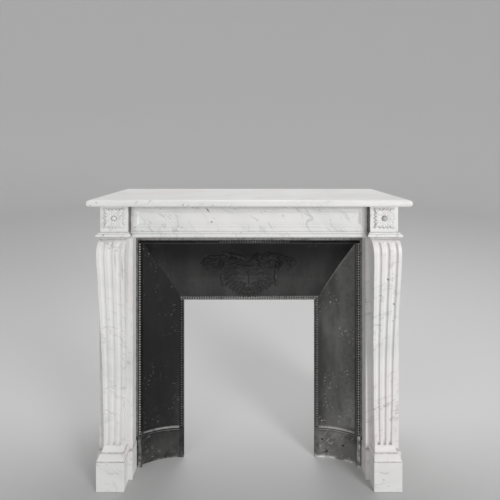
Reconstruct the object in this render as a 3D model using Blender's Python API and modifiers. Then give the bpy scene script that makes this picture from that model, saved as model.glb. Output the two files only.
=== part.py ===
"""Marble fireplace mantel with a hollow, splayed cast-iron insert.

Metres, +Z up. The origin is on the floor under the middle of the shelf, X runs along
the front, and the front faces -Y. The rear plane is the wall the mantel stands against.
"""

import math

import bmesh
import bpy
from mathutils import Matrix, Vector

# Clearances
GAP = 0.0003  # between pieces that touch
MITRE_GAP = 0.0006  # between the castings at their mitres
LEDGE = 0.0002  # how much the flat ledges of the mouldings rise inwards
MERGE = 0.000001  # points closer than this are one

# Main sizes
SHELF_END_OVERHANG = 0.0155  # beyond the jambs
SHELF_DEPTH = 0.380
SHELF_THICKNESS = 0.0245
FRIEZE_HEIGHT = 0.133
MARBLE_OPENING_WIDTH = 0.914
MARBLE_OPENING_HEIGHT = 0.9405
JAMB_WIDTH = 0.130
JAMB_THICKNESS = 0.040
BODY_DEPTH = 0.300  # from the wall to the front of the jambs
PLINTH_HEIGHT = 0.112

# Edge of the shelf, as (inwards, downwards) sizes of its rounds
SHELF_TOP_ROUND = (0.012, 0.0095)
SHELF_FOOT_ROUND = (0.009, 0.0125)
SHELF_ROUND_STEPS = 5

# Frieze
FRIEZE_SETBACK = 0.005  # behind the front of the jambs
FRIEZE_BAND_HEIGHT = 0.0165
FRIEZE_BAND_BASE = 0.007  # projection where its half round starts
FRIEZE_BAND_PROJECTION = 0.015
FRIEZE_FILLET_HEIGHT = 0.006
FRIEZE_FILLET_PROJECTION = 0.005
PANEL_END_MARGIN = 0.018  # from the ends of the frieze to the panel
PANEL_TOP_MARGIN = 0.0225
PANEL_FOOT_MARGIN = 0.016  # above the fillet
PANEL_STEPS = ((0.0012, 0.0030), (0.0043, 0.0), (0.0110, 0.0050), (0.0008, 0.0010))  # (inwards, down)

# Corner blocks and capitals
BLOCK_WIDTH = 0.108
BLOCK_PROJECTION = 0.018  # in front of the jambs
CAPITAL_NECK_HEIGHT = 0.0065
CAPITAL_NECK_PROJECTION = 0.003
CAPITAL_TORUS_HEIGHT = 0.0130
CAPITAL_TORUS_BASE = 0.008
CAPITAL_TORUS_PROJECTION = 0.013
CAPITAL_FILLET_HEIGHT = 0.006
CAPITAL_FILLET_PROJECTION = 0.006

# Rosette on each block
ROSETTE_HALF = 0.040
ROSETTE_SIDES = 48
ROSETTE_LEAVES = 8
ROSETTE_SQUARENESS = 6  # exponent of its soft square, where 2 would be a circle
ROSETTE_CORNER = 1.26  # reach of the corner leaves as a share of its half width
ROSETTE_NOTCH = 0.20
ROSETTE_RIDGE = 0.55  # share of the relief that falls away beside each leaf's ridge
ROSETTE_RELIEF = 0.0075
ROSETTE_BUTTON_RADIUS = 0.0085
ROSETTE_BUTTON_HEIGHT = 0.0125
ROSETTE_ROOT = 0.002  # how deep its ground is sunk into the block
LEAF_PROFILE = ((1.0, 0.35), (0.86, 0.8), (0.66, 1.0), (0.46, 0.75), (0.30, 0.25))  # (reach, rise)
BUTTON_PROFILE = ((1.0, 0.3), (1.0, 0.8), (0.55, 1.0))

# Legs
LEG_FOOT_WIDTH = 0.0764  # at the foot of the flutes
LEG_HEAD_WIDTH = 0.1072
LEG_FOOT_PROJECTION = 0.0220
LEG_SHOULDER_PROJECTION = 0.0550
LEG_HEAD_PROJECTION = 0.0200
LEG_SWELL_START = 0.340  # height where the front begins to swell
LEG_SHOULDER_HEIGHT = 0.055
LEG_FLARE_HEIGHT = 0.0170
LEG_FLARE_OUT = 0.0055
LEG_FLARE_FORWARD = 0.0125
LEG_FLARE_CURVE = 1.6  # exponent of its sweep
LEG_BASE_HEIGHT = 0.0160  # sloping base under the flare
LEG_BASE_OUT = 0.0140
LEG_BASE_FORWARD = 0.0310
LEG_BASE_CURVE = 1.3
LEG_BASE_REVEAL = 0.0010
LEG_BASE_STEPS = 2
LEG_FLARE_STEPS = 4
LEG_SWELL_STEPS = 6
LEG_SHOULDER_STEPS = 4
FLUTES = 3
FLUTE_SHARE = 0.169  # width of a flute as a share of the leg's width
FLUTE_DEPTH_SHARE = 0.36  # depth of a flute as a share of its own width
FLUTE_SEGMENTS = 6
FLUTE_HEAD_STEPS = 4
FLUTE_CLOSED_SHARE = 0.12  # width between a flute's points where it is closed
FLUTE_FOOT_LIP = 0.0015
FLUTE_HEAD_DROP = 0.0075  # from the top of the leg to the heads of the flutes

# Plinths
PLINTH_WIDTH = 0.106
PLINTH_PROJECTION = 0.055
JAMB_PLINTH_PROJECTION = 0.011
JAMB_PLINTH_SIDE = 0.003
PLINTH_BEVEL = 0.0012

# Side returns
RETURN_THICKNESS = 0.020
RETURN_BAND_PROJECTION = 0.004

# Iron insert, front faces measured back from the plane of its outer band
IRON_THICKNESS = 0.006
FIRE_OPENING_WIDTH = 0.545
FIRE_OPENING_HEIGHT = 0.6570
INNER_FRAME = 0.0175  # width of the beaded inner edge
INNER_LIP = 0.0040
INNER_LIP_DROP = 0.0035
INNER_DEPTH = 0.0430
OUTER_DEPTH = 0.0120
OUTER_FRAME_INSET = 0.0220  # from the marble opening to the hollow, at the sides
TOP_FRAME_INSET = 0.0345  # the same at the top
BEAD_STRIP = 0.0120
BEAD_MARGIN = 0.0010  # between a bead strip and the hollow
BEAD_HEIGHT = 0.0050
BEAD_SEGMENTS = 4
FLANGE_BEHIND_MARBLE = 0.0230
HOLLOW_SEGMENTS = 10
HOLLOW_ROUND = 0.55  # how far round its arc the hollow turns
FOOT_BAND_HEIGHT = 0.1230
FOOT_BAND_WIDTH = 0.0110
FOOT_BAND_RELIEF = 0.0045

# Garland on the top panel: (X, height above the hollow's foot) in a hollow of this height
GARLAND_PANEL_HEIGHT = 0.2315
GARLAND_SINK = 0.0012  # how deep each leaf and bud is rooted in the panel
SHARE_STEP = 0.01  # step for slopes and headings, as a share of the hollow or of a branch
LEAF_SIZE = (0.0160, 0.0056, 0.0040)  # half length, half width and rise
STEM_RADIUS = 0.0020
STEM_RODS = 10
STEM_LAP = 0.70  # half length of a rod as a share of its stretch of the stem
BRANCH_CUT = (-0.186, 0.1285)
BRANCH_BEND = (-0.090, 0.0985)
BRANCH_CROSS = (0.004, 0.1485)
BRANCH_CREST = (0.090, 0.1905)
BRANCH_TIP = (0.184, 0.1425)
BRANCH_LEAVES = 12
BRANCH_LEAF_ANGLE = 32
BRANCH_BARE_SHARE = 0.40
BUD_SIDES = 6
BUD_TOP = 0.45
BUD_RISE = 0.60
BERRY_RADIUS = 0.0050
BERRY_CLUSTER = (0.110, 0.1325)
BERRY_RING = 0.0120
BERRIES = 5
SWAG_HALF_WIDTH = 0.100
SWAG_TOP = 0.0825
SWAG_DROP = 0.063
SWAG_FLOWERS = 15
SWAG_FLOWER_RADIUS = 0.0110
SWAG_END_SHRINK = 0.35
BOW_HEIGHT = 0.1005
BOW_LOOP = (0.0330, 0.0085, 0.0040)
BOW_ANGLE = 12
BOW_HANG_ANGLE = 26
KNOT_RADIUS = 0.0075
TASSEL_X = 0.1130
TASSEL_TOP = 0.0865
TASSEL_BERRIES = 4
TASSEL_STEP = 0.0095

# Heights and planes worked out from the sizes above
SHELF_WIDTH = MARBLE_OPENING_WIDTH + 2 * (JAMB_WIDTH + SHELF_END_OVERHANG)
SHELF_UNDERSIDE = MARBLE_OPENING_HEIGHT + FRIEZE_HEIGHT
WALL_Y = SHELF_DEPTH / 2
JAMB_FRONT = WALL_Y - BODY_DEPTH
JAMB_BACK = JAMB_FRONT + JAMB_THICKNESS
JAMB_INNER = MARBLE_OPENING_WIDTH / 2
JAMB_OUTER = JAMB_INNER + JAMB_WIDTH
LEG_X = JAMB_INNER + JAMB_WIDTH / 2
IRON_FRONT = JAMB_BACK + GAP
HOLLOW_IN_X = FIRE_OPENING_WIDTH / 2 + INNER_FRAME
HOLLOW_IN_Z = FIRE_OPENING_HEIGHT + INNER_FRAME
HOLLOW_OUT_X = JAMB_INNER - OUTER_FRAME_INSET
HOLLOW_OUT_Z = MARBLE_OPENING_HEIGHT - TOP_FRAME_INSET
GARLAND_SCALE = (HOLLOW_OUT_Z - HOLLOW_IN_Z) / GARLAND_PANEL_HEIGHT


def clear_scene():
    for item in list(bpy.data.objects):
        bpy.data.objects.remove(item, do_unlink=True)


def new_collection(name, hidden=False):
    collection = bpy.data.collections.new(name)
    collection.hide_render = hidden
    bpy.context.scene.collection.children.link(collection)
    return collection


def new_material(name, colour, roughness, metallic=0.0):
    material = bpy.data.materials.new(name)
    material.use_nodes = True
    shader = material.node_tree.nodes["Principled BSDF"]
    shader.inputs["Base Color"].default_value = (*colour, 1.0)
    shader.inputs["Roughness"].default_value = roughness
    shader.inputs["Metallic"].default_value = metallic
    return material


def add_object(name, bm, material, collection):
    """Turns the bmesh into an object with its faces pointing out."""
    bmesh.ops.recalc_face_normals(bm, faces=bm.faces)
    mesh = bpy.data.meshes.new(name)
    bm.to_mesh(mesh)
    bm.free()
    mesh.materials.append(material)
    item = bpy.data.objects.new(name, mesh)
    collection.objects.link(item)
    return item


def add_cutter(name, bm, collection):
    item = add_object(name, bm, bpy.data.materials["marble"], collection)
    item.hide_render = True
    item.display_type = "WIRE"
    return item


def combine(item, other, operation):
    boolean = item.modifiers.new(other.name, "BOOLEAN")
    boolean.operation = operation
    boolean.object = other
    boolean.solver = "EXACT"
    return boolean


def box(bm, low, high):
    """A cube primitive stretched between two corners."""
    size = Vector(high) - Vector(low)
    middle = (Vector(high) + Vector(low)) / 2
    matrix = Matrix.Translation(middle) @ Matrix.Diagonal((*size, 1.0))
    bmesh.ops.create_cube(bm, size=1.0, matrix=matrix)


def bevelled_box(name, low, high, material, collection):
    bm = bmesh.new()
    box(bm, low, high)
    item = add_object(name, bm, material, collection)
    bevel = item.modifiers.new("edges", "BEVEL")
    bevel.width = PLINTH_BEVEL
    bevel.segments = 2
    return item


def loft(bm, rings):
    """A closed solid through rings of equally many points, capped at both ends."""
    rows = [[bm.verts.new(point) for point in ring] for ring in rings]
    count = len(rows[0])
    for lower, upper in zip(rows, rows[1:]):
        for k in range(count):
            after = (k + 1) % count
            bm.faces.new((lower[k], lower[after], upper[after], upper[k]))
    bm.faces.new(rows[0])
    bm.faces.new(rows[-1])
    return rows


def plate(bm, front, back):
    """A closed plate between two equal grids of points, front and back."""
    near = [[bm.verts.new(point) for point in row] for row in front]
    far = [[bm.verts.new(point) for point in row] for row in back]
    last_row = len(near) - 1
    last = len(near[0]) - 1
    for grid in (near, far):
        for j in range(last_row):
            for k in range(last):
                corners = (grid[j][k], grid[j][k + 1], grid[j + 1][k + 1], grid[j + 1][k])
                bm.faces.new(corners)
    for j in (0, last_row):
        for k in range(last):
            bm.faces.new((near[j][k], near[j][k + 1], far[j][k + 1], far[j][k]))
    for k in (0, last):
        for j in range(last_row):
            bm.faces.new((near[j][k], near[j + 1][k], far[j + 1][k], far[j][k]))


def moulded_rings(left, right, front, back, profile, ends):
    """Rectangles in plan, one for each (height, out) of the profile.

    The front moves out by the whole step, and each end by its share of it.
    """
    rings = []
    for z, out in profile:
        x0 = left - out * ends[0]
        x1 = right + out * ends[1]
        y0 = front - out
        rings.append([(x0, y0, z), (x1, y0, z), (x1, back, z), (x0, back, z)])
    return rings


def bulge(low, high, base, crown, segments=5):
    """(height, out) points of a half-round band from low to high."""
    points = []
    for k in range(segments + 1):
        turn = math.pi * k / segments
        height = low + (high - low) * (1 - math.cos(turn)) / 2
        points.append((height, base + (crown - base) * math.sin(turn)))
    return points


def quarter(start, size, steps, rising):
    """(height, out) points of a quarter ellipse, from its outermost or innermost point."""
    points = []
    for k in range(steps + 1):
        turn = math.pi / 2 * k / steps
        inward = size[0] * (1 - math.cos(turn)) if rising else size[0] * (1 - math.sin(turn))
        height = size[1] * math.sin(turn) if rising else size[1] * (1 - math.cos(turn))
        points.append((start + height, -inward))
    return points


def make_shelf(material, collection):
    """A slab rounded above and below its nose, with a flat rear edge at the wall."""
    low = SHELF_UNDERSIDE
    high = low + SHELF_THICKNESS
    profile = quarter(low, SHELF_FOOT_ROUND, SHELF_ROUND_STEPS, False)
    profile += quarter(high - SHELF_TOP_ROUND[1], SHELF_TOP_ROUND, SHELF_ROUND_STEPS, True)
    half = SHELF_WIDTH / 2
    bm = bmesh.new()
    loft(bm, moulded_rings(-half, half, -WALL_Y, WALL_Y, profile, (1, 1)))
    return add_object("shelf", bm, material, collection)


def make_frieze(material, collection):
    """The lintel: a half-round band and fillet below, and a sunk moulded panel above."""
    half = LEG_X - BLOCK_WIDTH / 2 - GAP
    front = JAMB_FRONT + FRIEZE_SETBACK
    low = MARBLE_OPENING_HEIGHT
    band_top = low + FRIEZE_BAND_HEIGHT
    fillet_top = band_top + FRIEZE_FILLET_HEIGHT
    profile = bulge(low, band_top, FRIEZE_BAND_BASE, FRIEZE_BAND_PROJECTION)
    profile += [
        (band_top + LEDGE, FRIEZE_FILLET_PROJECTION),
        (fillet_top, FRIEZE_FILLET_PROJECTION),
        (fillet_top + LEDGE, 0.0),
        (SHELF_UNDERSIDE - GAP, 0.0),
    ]
    bm = bmesh.new()
    rows = loft(bm, moulded_rings(-half, half, front, JAMB_BACK, profile, (0, 0)))
    face = bm.faces.get((rows[-2][0], rows[-2][1], rows[-1][1], rows[-1][0]))
    sink_panel(bm, face, half, fillet_top)
    return add_object("frieze", bm, material, collection)


def sink_panel(bm, face, half, fillet_top):
    """Insets the front face to the panel's outline, then steps it down to the table."""
    bmesh.ops.recalc_face_normals(bm, faces=bm.faces)
    bmesh.ops.inset_region(bm, faces=[face], thickness=PANEL_FOOT_MARGIN)
    middle = (fillet_top + SHELF_UNDERSIDE) / 2
    for corner in face.verts:
        corner.co.x = math.copysign(half - PANEL_END_MARGIN, corner.co.x)
        above = corner.co.z > middle
        corner.co.z = SHELF_UNDERSIDE - PANEL_TOP_MARGIN if above else fillet_top + PANEL_FOOT_MARGIN
    for inward, sink in PANEL_STEPS:
        bmesh.ops.inset_region(bm, faces=[face], thickness=inward, depth=-sink)


def rosette_radius(angle):
    """Outline of the flower: a soft square, notched between its leaves."""
    power = ROSETTE_SQUARENESS
    square = (math.cos(angle) ** power + math.sin(angle) ** power) ** (-1 / power)
    notch = 1 - ROSETTE_NOTCH * abs(math.sin(ROSETTE_LEAVES / 2 * angle)) ** 3
    return ROSETTE_HALF * min(square, ROSETTE_CORNER) * notch


def rosette_rings(centre_x, centre_z, front):
    """Closed outlines from the sunk ground up the leaves to the button."""
    angles = [2 * math.pi * k / ROSETTE_SIDES for k in range(ROSETTE_SIDES)]

    def ring(outline):
        return [rosette_point(centre_x, centre_z, front, angle, *outline(angle)) for angle in angles]

    def leaf_height(angle, rise):
        fall = ROSETTE_RIDGE * (1 - abs(math.cos(ROSETTE_LEAVES / 2 * angle)))
        return ROSETTE_RELIEF * rise * (1 - fall)

    rings = [ring(lambda angle: (rosette_radius(angle), -ROSETTE_ROOT))]
    for share, rise in LEAF_PROFILE:
        rings.append(ring(lambda angle: (rosette_radius(angle) * share, leaf_height(angle, rise))))
    for share, rise in BUTTON_PROFILE:
        rings.append(ring(lambda angle: (ROSETTE_BUTTON_RADIUS * share, ROSETTE_BUTTON_HEIGHT * rise)))
    return rings


def rosette_point(centre_x, centre_z, front, angle, reach, height):
    x = centre_x + reach * math.cos(angle)
    z = centre_z + reach * math.sin(angle)
    return (x, front - height, z)


def make_corner_block(name, side, material, collection, cutters):
    """A block with its rosette, over a capital moulding that stops against the frieze."""
    half = BLOCK_WIDTH / 2
    front = JAMB_FRONT - BLOCK_PROJECTION
    low = MARBLE_OPENING_HEIGHT
    neck_top = low + CAPITAL_NECK_HEIGHT
    torus_top = neck_top + CAPITAL_TORUS_HEIGHT
    fillet_top = torus_top + CAPITAL_FILLET_HEIGHT
    profile = [(low, CAPITAL_NECK_PROJECTION), (neck_top - LEDGE, CAPITAL_NECK_PROJECTION)]
    profile += bulge(neck_top, torus_top, CAPITAL_TORUS_BASE, CAPITAL_TORUS_PROJECTION)
    profile += [
        (torus_top + LEDGE, CAPITAL_FILLET_PROJECTION),
        (fillet_top, CAPITAL_FILLET_PROJECTION),
        (fillet_top + LEDGE, 0.0),
        (SHELF_UNDERSIDE - GAP, 0.0),
    ]
    centre_x = side * LEG_X
    stop = JAMB_FRONT + FRIEZE_SETBACK - FRIEZE_BAND_PROJECTION - GAP
    rings = []
    for z, out in profile:
        inner = side * (LEG_X - half)
        outer = side * (LEG_X + half + out)
        proud = inner - side * out
        near = front - out
        outline = [(proud, near), (outer, near), (outer, JAMB_BACK), (inner, JAMB_BACK)]
        outline += [(inner, stop), (proud, stop)]
        rings.append([(x, y, z) for x, y in outline])
    bm = bmesh.new()
    loft(bm, rings)
    bmesh.ops.remove_doubles(bm, verts=bm.verts, dist=MERGE)
    block = add_object(name, bm, material, collection)

    bm = bmesh.new()
    centre_z = (fillet_top + SHELF_UNDERSIDE) / 2
    loft(bm, rosette_rings(centre_x, centre_z, front))
    combine(block, add_cutter(name + "_rosette", bm, cutters), "UNION")
    return block


def leg_width(z):
    """Half the leg's width at this height, widening evenly from the foot of the flutes."""
    foot = PLINTH_HEIGHT + LEG_BASE_HEIGHT + LEG_FLARE_HEIGHT
    share = (z - foot) / (MARBLE_OPENING_HEIGHT - foot)
    return (LEG_FOOT_WIDTH + (LEG_HEAD_WIDTH - LEG_FOOT_WIDTH) * max(share, 0.0)) / 2


def leg_projection(z):
    """How far the front stands before the jamb: straight, then swelling, then rounded over."""
    shoulder = MARBLE_OPENING_HEIGHT - LEG_SHOULDER_HEIGHT
    if z > shoulder:
        turn = min((z - shoulder) / LEG_SHOULDER_HEIGHT, 1.0)
        fall = 1 - math.sqrt(1 - turn * turn)
        return LEG_SHOULDER_PROJECTION - (LEG_SHOULDER_PROJECTION - LEG_HEAD_PROJECTION) * fall
    share = max((z - LEG_SWELL_START) / (shoulder - LEG_SWELL_START), 0.0)
    swell = share * share * (3 - share * share) / 2
    return LEG_FOOT_PROJECTION + (LEG_SHOULDER_PROJECTION - LEG_FOOT_PROJECTION) * swell


def leg_section(centre_x, z, half, projection, opening):
    """One ring of the leg: flat back and sides, and a front with its flutes.

    opening is how far each flute is open here, from 0 to 1.
    """
    front = JAMB_FRONT - projection
    back = JAMB_FRONT - GAP
    ring = [(centre_x + half, back, z), (centre_x - half, back, z), (centre_x - half, front, z)]
    flute = FLUTE_SHARE * half
    pitch = 2 * half * (1 - FLUTES * FLUTE_SHARE) / (FLUTES + 1) + 2 * flute
    for i in range(FLUTES):
        middle = centre_x + (i - (FLUTES - 1) / 2) * pitch
        for k in range(FLUTE_SEGMENTS + 1):
            across = -math.cos(math.pi * k / FLUTE_SEGMENTS)
            width = flute * max(opening, FLUTE_CLOSED_SHARE)
            sink = 2 * flute * FLUTE_DEPTH_SHARE * opening * math.sqrt(max(1 - across * across, 0.0))
            ring.append((middle + across * width, front + sink, z))
    ring.append((centre_x + half, front, z))
    return ring


def leg_rings(centre_x):
    """Sections from the plinth up: sloping base, flare, fluted shaft and shoulder."""
    low = PLINTH_HEIGHT + GAP
    base_top = PLINTH_HEIGHT + LEG_BASE_HEIGHT
    foot = base_top + LEG_FLARE_HEIGHT
    head = MARBLE_OPENING_HEIGHT - GAP
    rings = []
    base_out = LEG_BASE_OUT - LEG_FLARE_OUT - LEG_BASE_REVEAL
    base_forward = LEG_BASE_FORWARD - LEG_FLARE_FORWARD - LEG_BASE_REVEAL
    for k in range(LEG_BASE_STEPS + 1):
        z = low + (base_top - low) * k / LEG_BASE_STEPS
        drawn_in = (k / LEG_BASE_STEPS) ** LEG_BASE_CURVE
        half = leg_width(z) + LEG_BASE_OUT - base_out * drawn_in
        forward = leg_projection(z) + LEG_BASE_FORWARD - base_forward * drawn_in
        rings.append(leg_section(centre_x, z, half, forward, 0))
    for k in range(LEG_FLARE_STEPS):
        share = 1 - k / LEG_FLARE_STEPS
        z = foot - LEG_FLARE_HEIGHT * share
        sweep = share**LEG_FLARE_CURVE
        half = leg_width(z) + LEG_FLARE_OUT * sweep
        rings.append(leg_section(centre_x, z, half, leg_projection(z) + LEG_FLARE_FORWARD * sweep, 0))
    rings.append(leg_section(centre_x, foot, leg_width(foot), leg_projection(foot), 0))

    flute_top = head - FLUTE_HEAD_DROP
    spring = flute_top - FLUTE_SHARE * leg_width(flute_top)
    shoulder = MARBLE_OPENING_HEIGHT - LEG_SHOULDER_HEIGHT
    heights = [foot + FLUTE_FOOT_LIP, LEG_SWELL_START]
    for start, end, steps in (
        (LEG_SWELL_START, shoulder, LEG_SWELL_STEPS),
        (shoulder, spring, LEG_SHOULDER_STEPS),
    ):
        heights += [start + (end - start) * k / steps for k in range(1, steps + 1)]
    for z in heights:
        rings.append(leg_section(centre_x, z, leg_width(z), leg_projection(z), 1))
    for k in range(1, FLUTE_HEAD_STEPS + 1):
        share = k / FLUTE_HEAD_STEPS
        z = spring + (flute_top - spring) * math.sin(math.pi / 2 * share)
        opening = math.cos(math.pi / 2 * share)
        rings.append(leg_section(centre_x, z, leg_width(z), leg_projection(z), opening))
    for z in ((flute_top + head) / 2, head):
        rings.append(leg_section(centre_x, z, leg_width(z), leg_projection(z), 0))
    return rings


def make_leg(name, side, material, collection):
    bm = bmesh.new()
    loft(bm, leg_rings(side * LEG_X))
    return add_object(name, bm, material, collection)


def make_plinth(name, side, material, collection):
    front = JAMB_FRONT - PLINTH_PROJECTION
    back = JAMB_FRONT - JAMB_PLINTH_PROJECTION - GAP
    low = (side * LEG_X - PLINTH_WIDTH / 2, front, 0.0)
    high = (side * LEG_X + PLINTH_WIDTH / 2, back, PLINTH_HEIGHT)
    return bevelled_box(name, low, high, material, collection)


def make_jamb_plinth(name, side, material, collection):
    half = JAMB_WIDTH / 2 + JAMB_PLINTH_SIDE
    low = (side * LEG_X - half, JAMB_FRONT - JAMB_PLINTH_PROJECTION, 0.0)
    high = (side * LEG_X + half, JAMB_BACK, PLINTH_HEIGHT)
    return bevelled_box(name, low, high, material, collection)


def make_jamb(name, side, material, collection):
    half = JAMB_WIDTH / 2
    low = (side * LEG_X - half, JAMB_FRONT, PLINTH_HEIGHT + GAP)
    high = (side * LEG_X + half, JAMB_BACK, MARBLE_OPENING_HEIGHT - GAP)
    return bevelled_box(name, low, high, material, collection)


def make_side_return(name, side, material, collection):
    """A slab back to the wall, with a plinth band below and a band at the capital's height."""
    band_low = MARBLE_OPENING_HEIGHT + CAPITAL_NECK_HEIGHT
    band_high = band_low + CAPITAL_TORUS_HEIGHT
    profile = [
        (0.0, RETURN_BAND_PROJECTION),
        (PLINTH_HEIGHT - RETURN_BAND_PROJECTION, RETURN_BAND_PROJECTION),
        (PLINTH_HEIGHT, 0.0),
    ]
    profile += bulge(band_low, band_high, 0.0, RETURN_BAND_PROJECTION)
    profile.append((SHELF_UNDERSIDE - GAP, 0.0))
    rings = []
    for z, out in profile:
        inner = side * (JAMB_OUTER - RETURN_THICKNESS)
        outer = side * (JAMB_OUTER + out)
        near = JAMB_BACK + GAP
        rings.append([(inner, near, z), (outer, near, z), (outer, WALL_Y, z), (inner, WALL_Y, z)])
    bm = bmesh.new()
    loft(bm, rings)
    return add_object(name, bm, material, collection)


def hollow_depth(share):
    """Depth of the hollow between its inner edge, share 0, and its outer edge, share 1."""
    fall = (1 - math.sqrt(1 - (HOLLOW_ROUND * share) ** 2)) / (1 - math.sqrt(1 - HOLLOW_ROUND**2))
    return INNER_DEPTH - (INNER_DEPTH - OUTER_DEPTH) * fall


def bead_points(start, depth):
    """(place, front depth) points of a bead strip, which is half round across."""
    points = []
    for k in range(BEAD_SEGMENTS + 1):
        turn = math.pi * k / BEAD_SEGMENTS
        place = start + BEAD_STRIP * (1 - math.cos(turn)) / 2
        points.append((place, depth - BEAD_HEIGHT * math.sin(turn)))
    return points


def casting_section():
    """(zone, place, front, back) points from the fire opening out to the flange's edge.

    In the zones "in" and "out" the place is a distance from the hollow's edge. In the
    zone "hollow" it is a share of the hollow's width, so that all castings meet at the
    mitres.
    """
    inner_back = INNER_DEPTH + IRON_THICKNESS
    inner_beads = -BEAD_STRIP - BEAD_MARGIN
    points = [("in", -INNER_FRAME, INNER_DEPTH + INNER_LIP_DROP, inner_back)]
    points.append(("in", -INNER_FRAME + INNER_LIP, INNER_DEPTH, inner_back))
    points += [("in", x, y, inner_back) for x, y in bead_points(inner_beads, INNER_DEPTH)]
    for k in range(HOLLOW_SEGMENTS + 1):
        share = k / HOLLOW_SEGMENTS
        depth = hollow_depth(share)
        points.append(("hollow", share, depth, depth + IRON_THICKNESS))
    outer_back = OUTER_DEPTH + IRON_THICKNESS
    points.append(("out", BEAD_MARGIN / 2, 0.0, outer_back))
    for place, depth in bead_points(BEAD_MARGIN, 0.0):
        back = outer_back if place < IRON_THICKNESS else IRON_THICKNESS
        points.append(("out", place, depth, back))
    points.append(("out", OUTER_FRAME_INSET + FLANGE_BEHIND_MARBLE, 0.0, IRON_THICKNESS))
    return points


def place_of(zone, place):
    """(X, Z) where this line of the section turns the corner of the insert."""
    if zone == "in":
        return HOLLOW_IN_X + place, HOLLOW_IN_Z + place
    if zone == "out":
        return HOLLOW_OUT_X + place, HOLLOW_OUT_Z + place
    x = HOLLOW_IN_X + (HOLLOW_OUT_X - HOLLOW_IN_X) * place
    z = HOLLOW_IN_Z + (HOLLOW_OUT_Z - HOLLOW_IN_Z) * place
    return x, z


def make_cheek(name, side, material, collection):
    """One side of the insert, from the floor to the mitre, with the band across its foot."""
    band_low = FOOT_BAND_HEIGHT
    middle = band_low + FOOT_BAND_WIDTH / 2
    band_high = band_low + FOOT_BAND_WIDTH
    levels = ((0.0, 0.0), (band_low, 0.0), (middle, 1.0), (band_high, 0.0), (None, 0.0))
    front = []
    back = []
    for level, relief in levels:
        near_row = []
        far_row = []
        for zone, place, near, far in casting_section():
            x, top = place_of(zone, place)
            z = top - MITRE_GAP if level is None else level
            raised = FOOT_BAND_RELIEF * relief if zone == "hollow" and 0 < place < 1 else 0.0
            near_row.append((side * x, IRON_FRONT + near - raised, z))
            far_row.append((side * x, IRON_FRONT + far, z))
        front.append(near_row)
        back.append(far_row)
    bm = bmesh.new()
    plate(bm, front, back)
    return add_object(name, bm, material, collection)


def make_top_panel(material, collection, cutters):
    """The top of the insert between the mitres, with the garland cast on it."""
    front = []
    back = []
    for side in (-1, 1):
        near_row = []
        far_row = []
        for zone, place, near, far in casting_section():
            x, z = place_of(zone, place)
            near_row.append((side * x, IRON_FRONT + near, z))
            far_row.append((side * x, IRON_FRONT + far, z))
        front.append(near_row)
        back.append(far_row)
    bm = bmesh.new()
    plate(bm, front, back)
    panel = add_object("insert_top_panel", bm, material, collection)
    bm = bmesh.new()
    add_garland(bm)
    garland = add_cutter("garland", bm, cutters)
    combine(panel, garland, "UNION").use_self = True
    return panel


def panel_frame(spot, angle):
    """A point of the hollow, with unit vectors along angle, across it and out of the panel."""
    x, above = spot
    x = x * GARLAND_SCALE
    z = HOLLOW_IN_Z + above * GARLAND_SCALE
    share = above / GARLAND_PANEL_HEIGHT
    drop = hollow_depth(share + SHARE_STEP) - hollow_depth(share - SHARE_STEP)
    slope = drop / (2 * SHARE_STEP * (HOLLOW_OUT_Z - HOLLOW_IN_Z))
    up = Vector((0.0, slope, 1.0)).normalized()
    out = Vector((0.0, -1.0, slope)).normalized()
    along = Vector((math.cos(angle), 0.0, 0.0)) + math.sin(angle) * up
    point = Vector((x, IRON_FRONT + hollow_depth(share), z))
    return point, along, out.cross(along), out


def add_boss(bm, spot, angle, size, sides, top):
    """A low cone or frustum cast on the panel: its base is a long or a round outline.

    size is the half length, the half width and the rise, and top the radius left above.
    """
    point, along, across, out = panel_frame(spot, angle)
    height = size[2] + GARLAND_SINK
    middle = point + out * (size[2] - GARLAND_SINK) / 2
    reach = along * size[0] * GARLAND_SCALE
    breadth = across * size[1] * GARLAND_SCALE
    turn = Matrix((reach, breadth, out * height)).transposed().to_4x4()
    matrix = Matrix.Translation(middle) @ turn
    bmesh.ops.create_cone(
        bm, cap_ends=True, segments=sides, radius1=1.0, radius2=top, depth=1.0, matrix=matrix
    )


def add_leaf(bm, spot, angle, size):
    add_boss(bm, spot, angle, size, 4, 0.0)


def add_bud(bm, spot, radius):
    add_boss(bm, spot, 0.0, (radius, radius, radius * BUD_RISE), BUD_SIDES, BUD_TOP)


def branch_spot(share, side):
    """A place along a branch, a smooth curve through its five points."""
    spots = (BRANCH_CUT, BRANCH_BEND, BRANCH_CROSS, BRANCH_CREST, BRANCH_TIP)
    along = share * (len(spots) - 1)
    k = min(int(along), len(spots) - 2)
    t = along - k
    before = spots[max(k - 1, 0)]
    start = spots[k]
    end = spots[k + 1]
    after = spots[min(k + 2, len(spots) - 1)]
    spot = []
    for p0, p1, p2, p3 in zip(before, start, end, after):
        bend = 2 * p0 - 5 * p1 + 4 * p2 - p3
        curl = 3 * p1 - p0 - 3 * p2 + p3
        spot.append((2 * p1 + (p2 - p0) * t + bend * t * t + curl * t**3) / 2)
    return side * spot[0], spot[1]


def branch_angle(share, side):
    x0, z0 = branch_spot(max(share - SHARE_STEP, 0.0), side)
    x1, z1 = branch_spot(min(share + SHARE_STEP, 1.0), side)
    return math.atan2(z1 - z0, x1 - x0)


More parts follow.
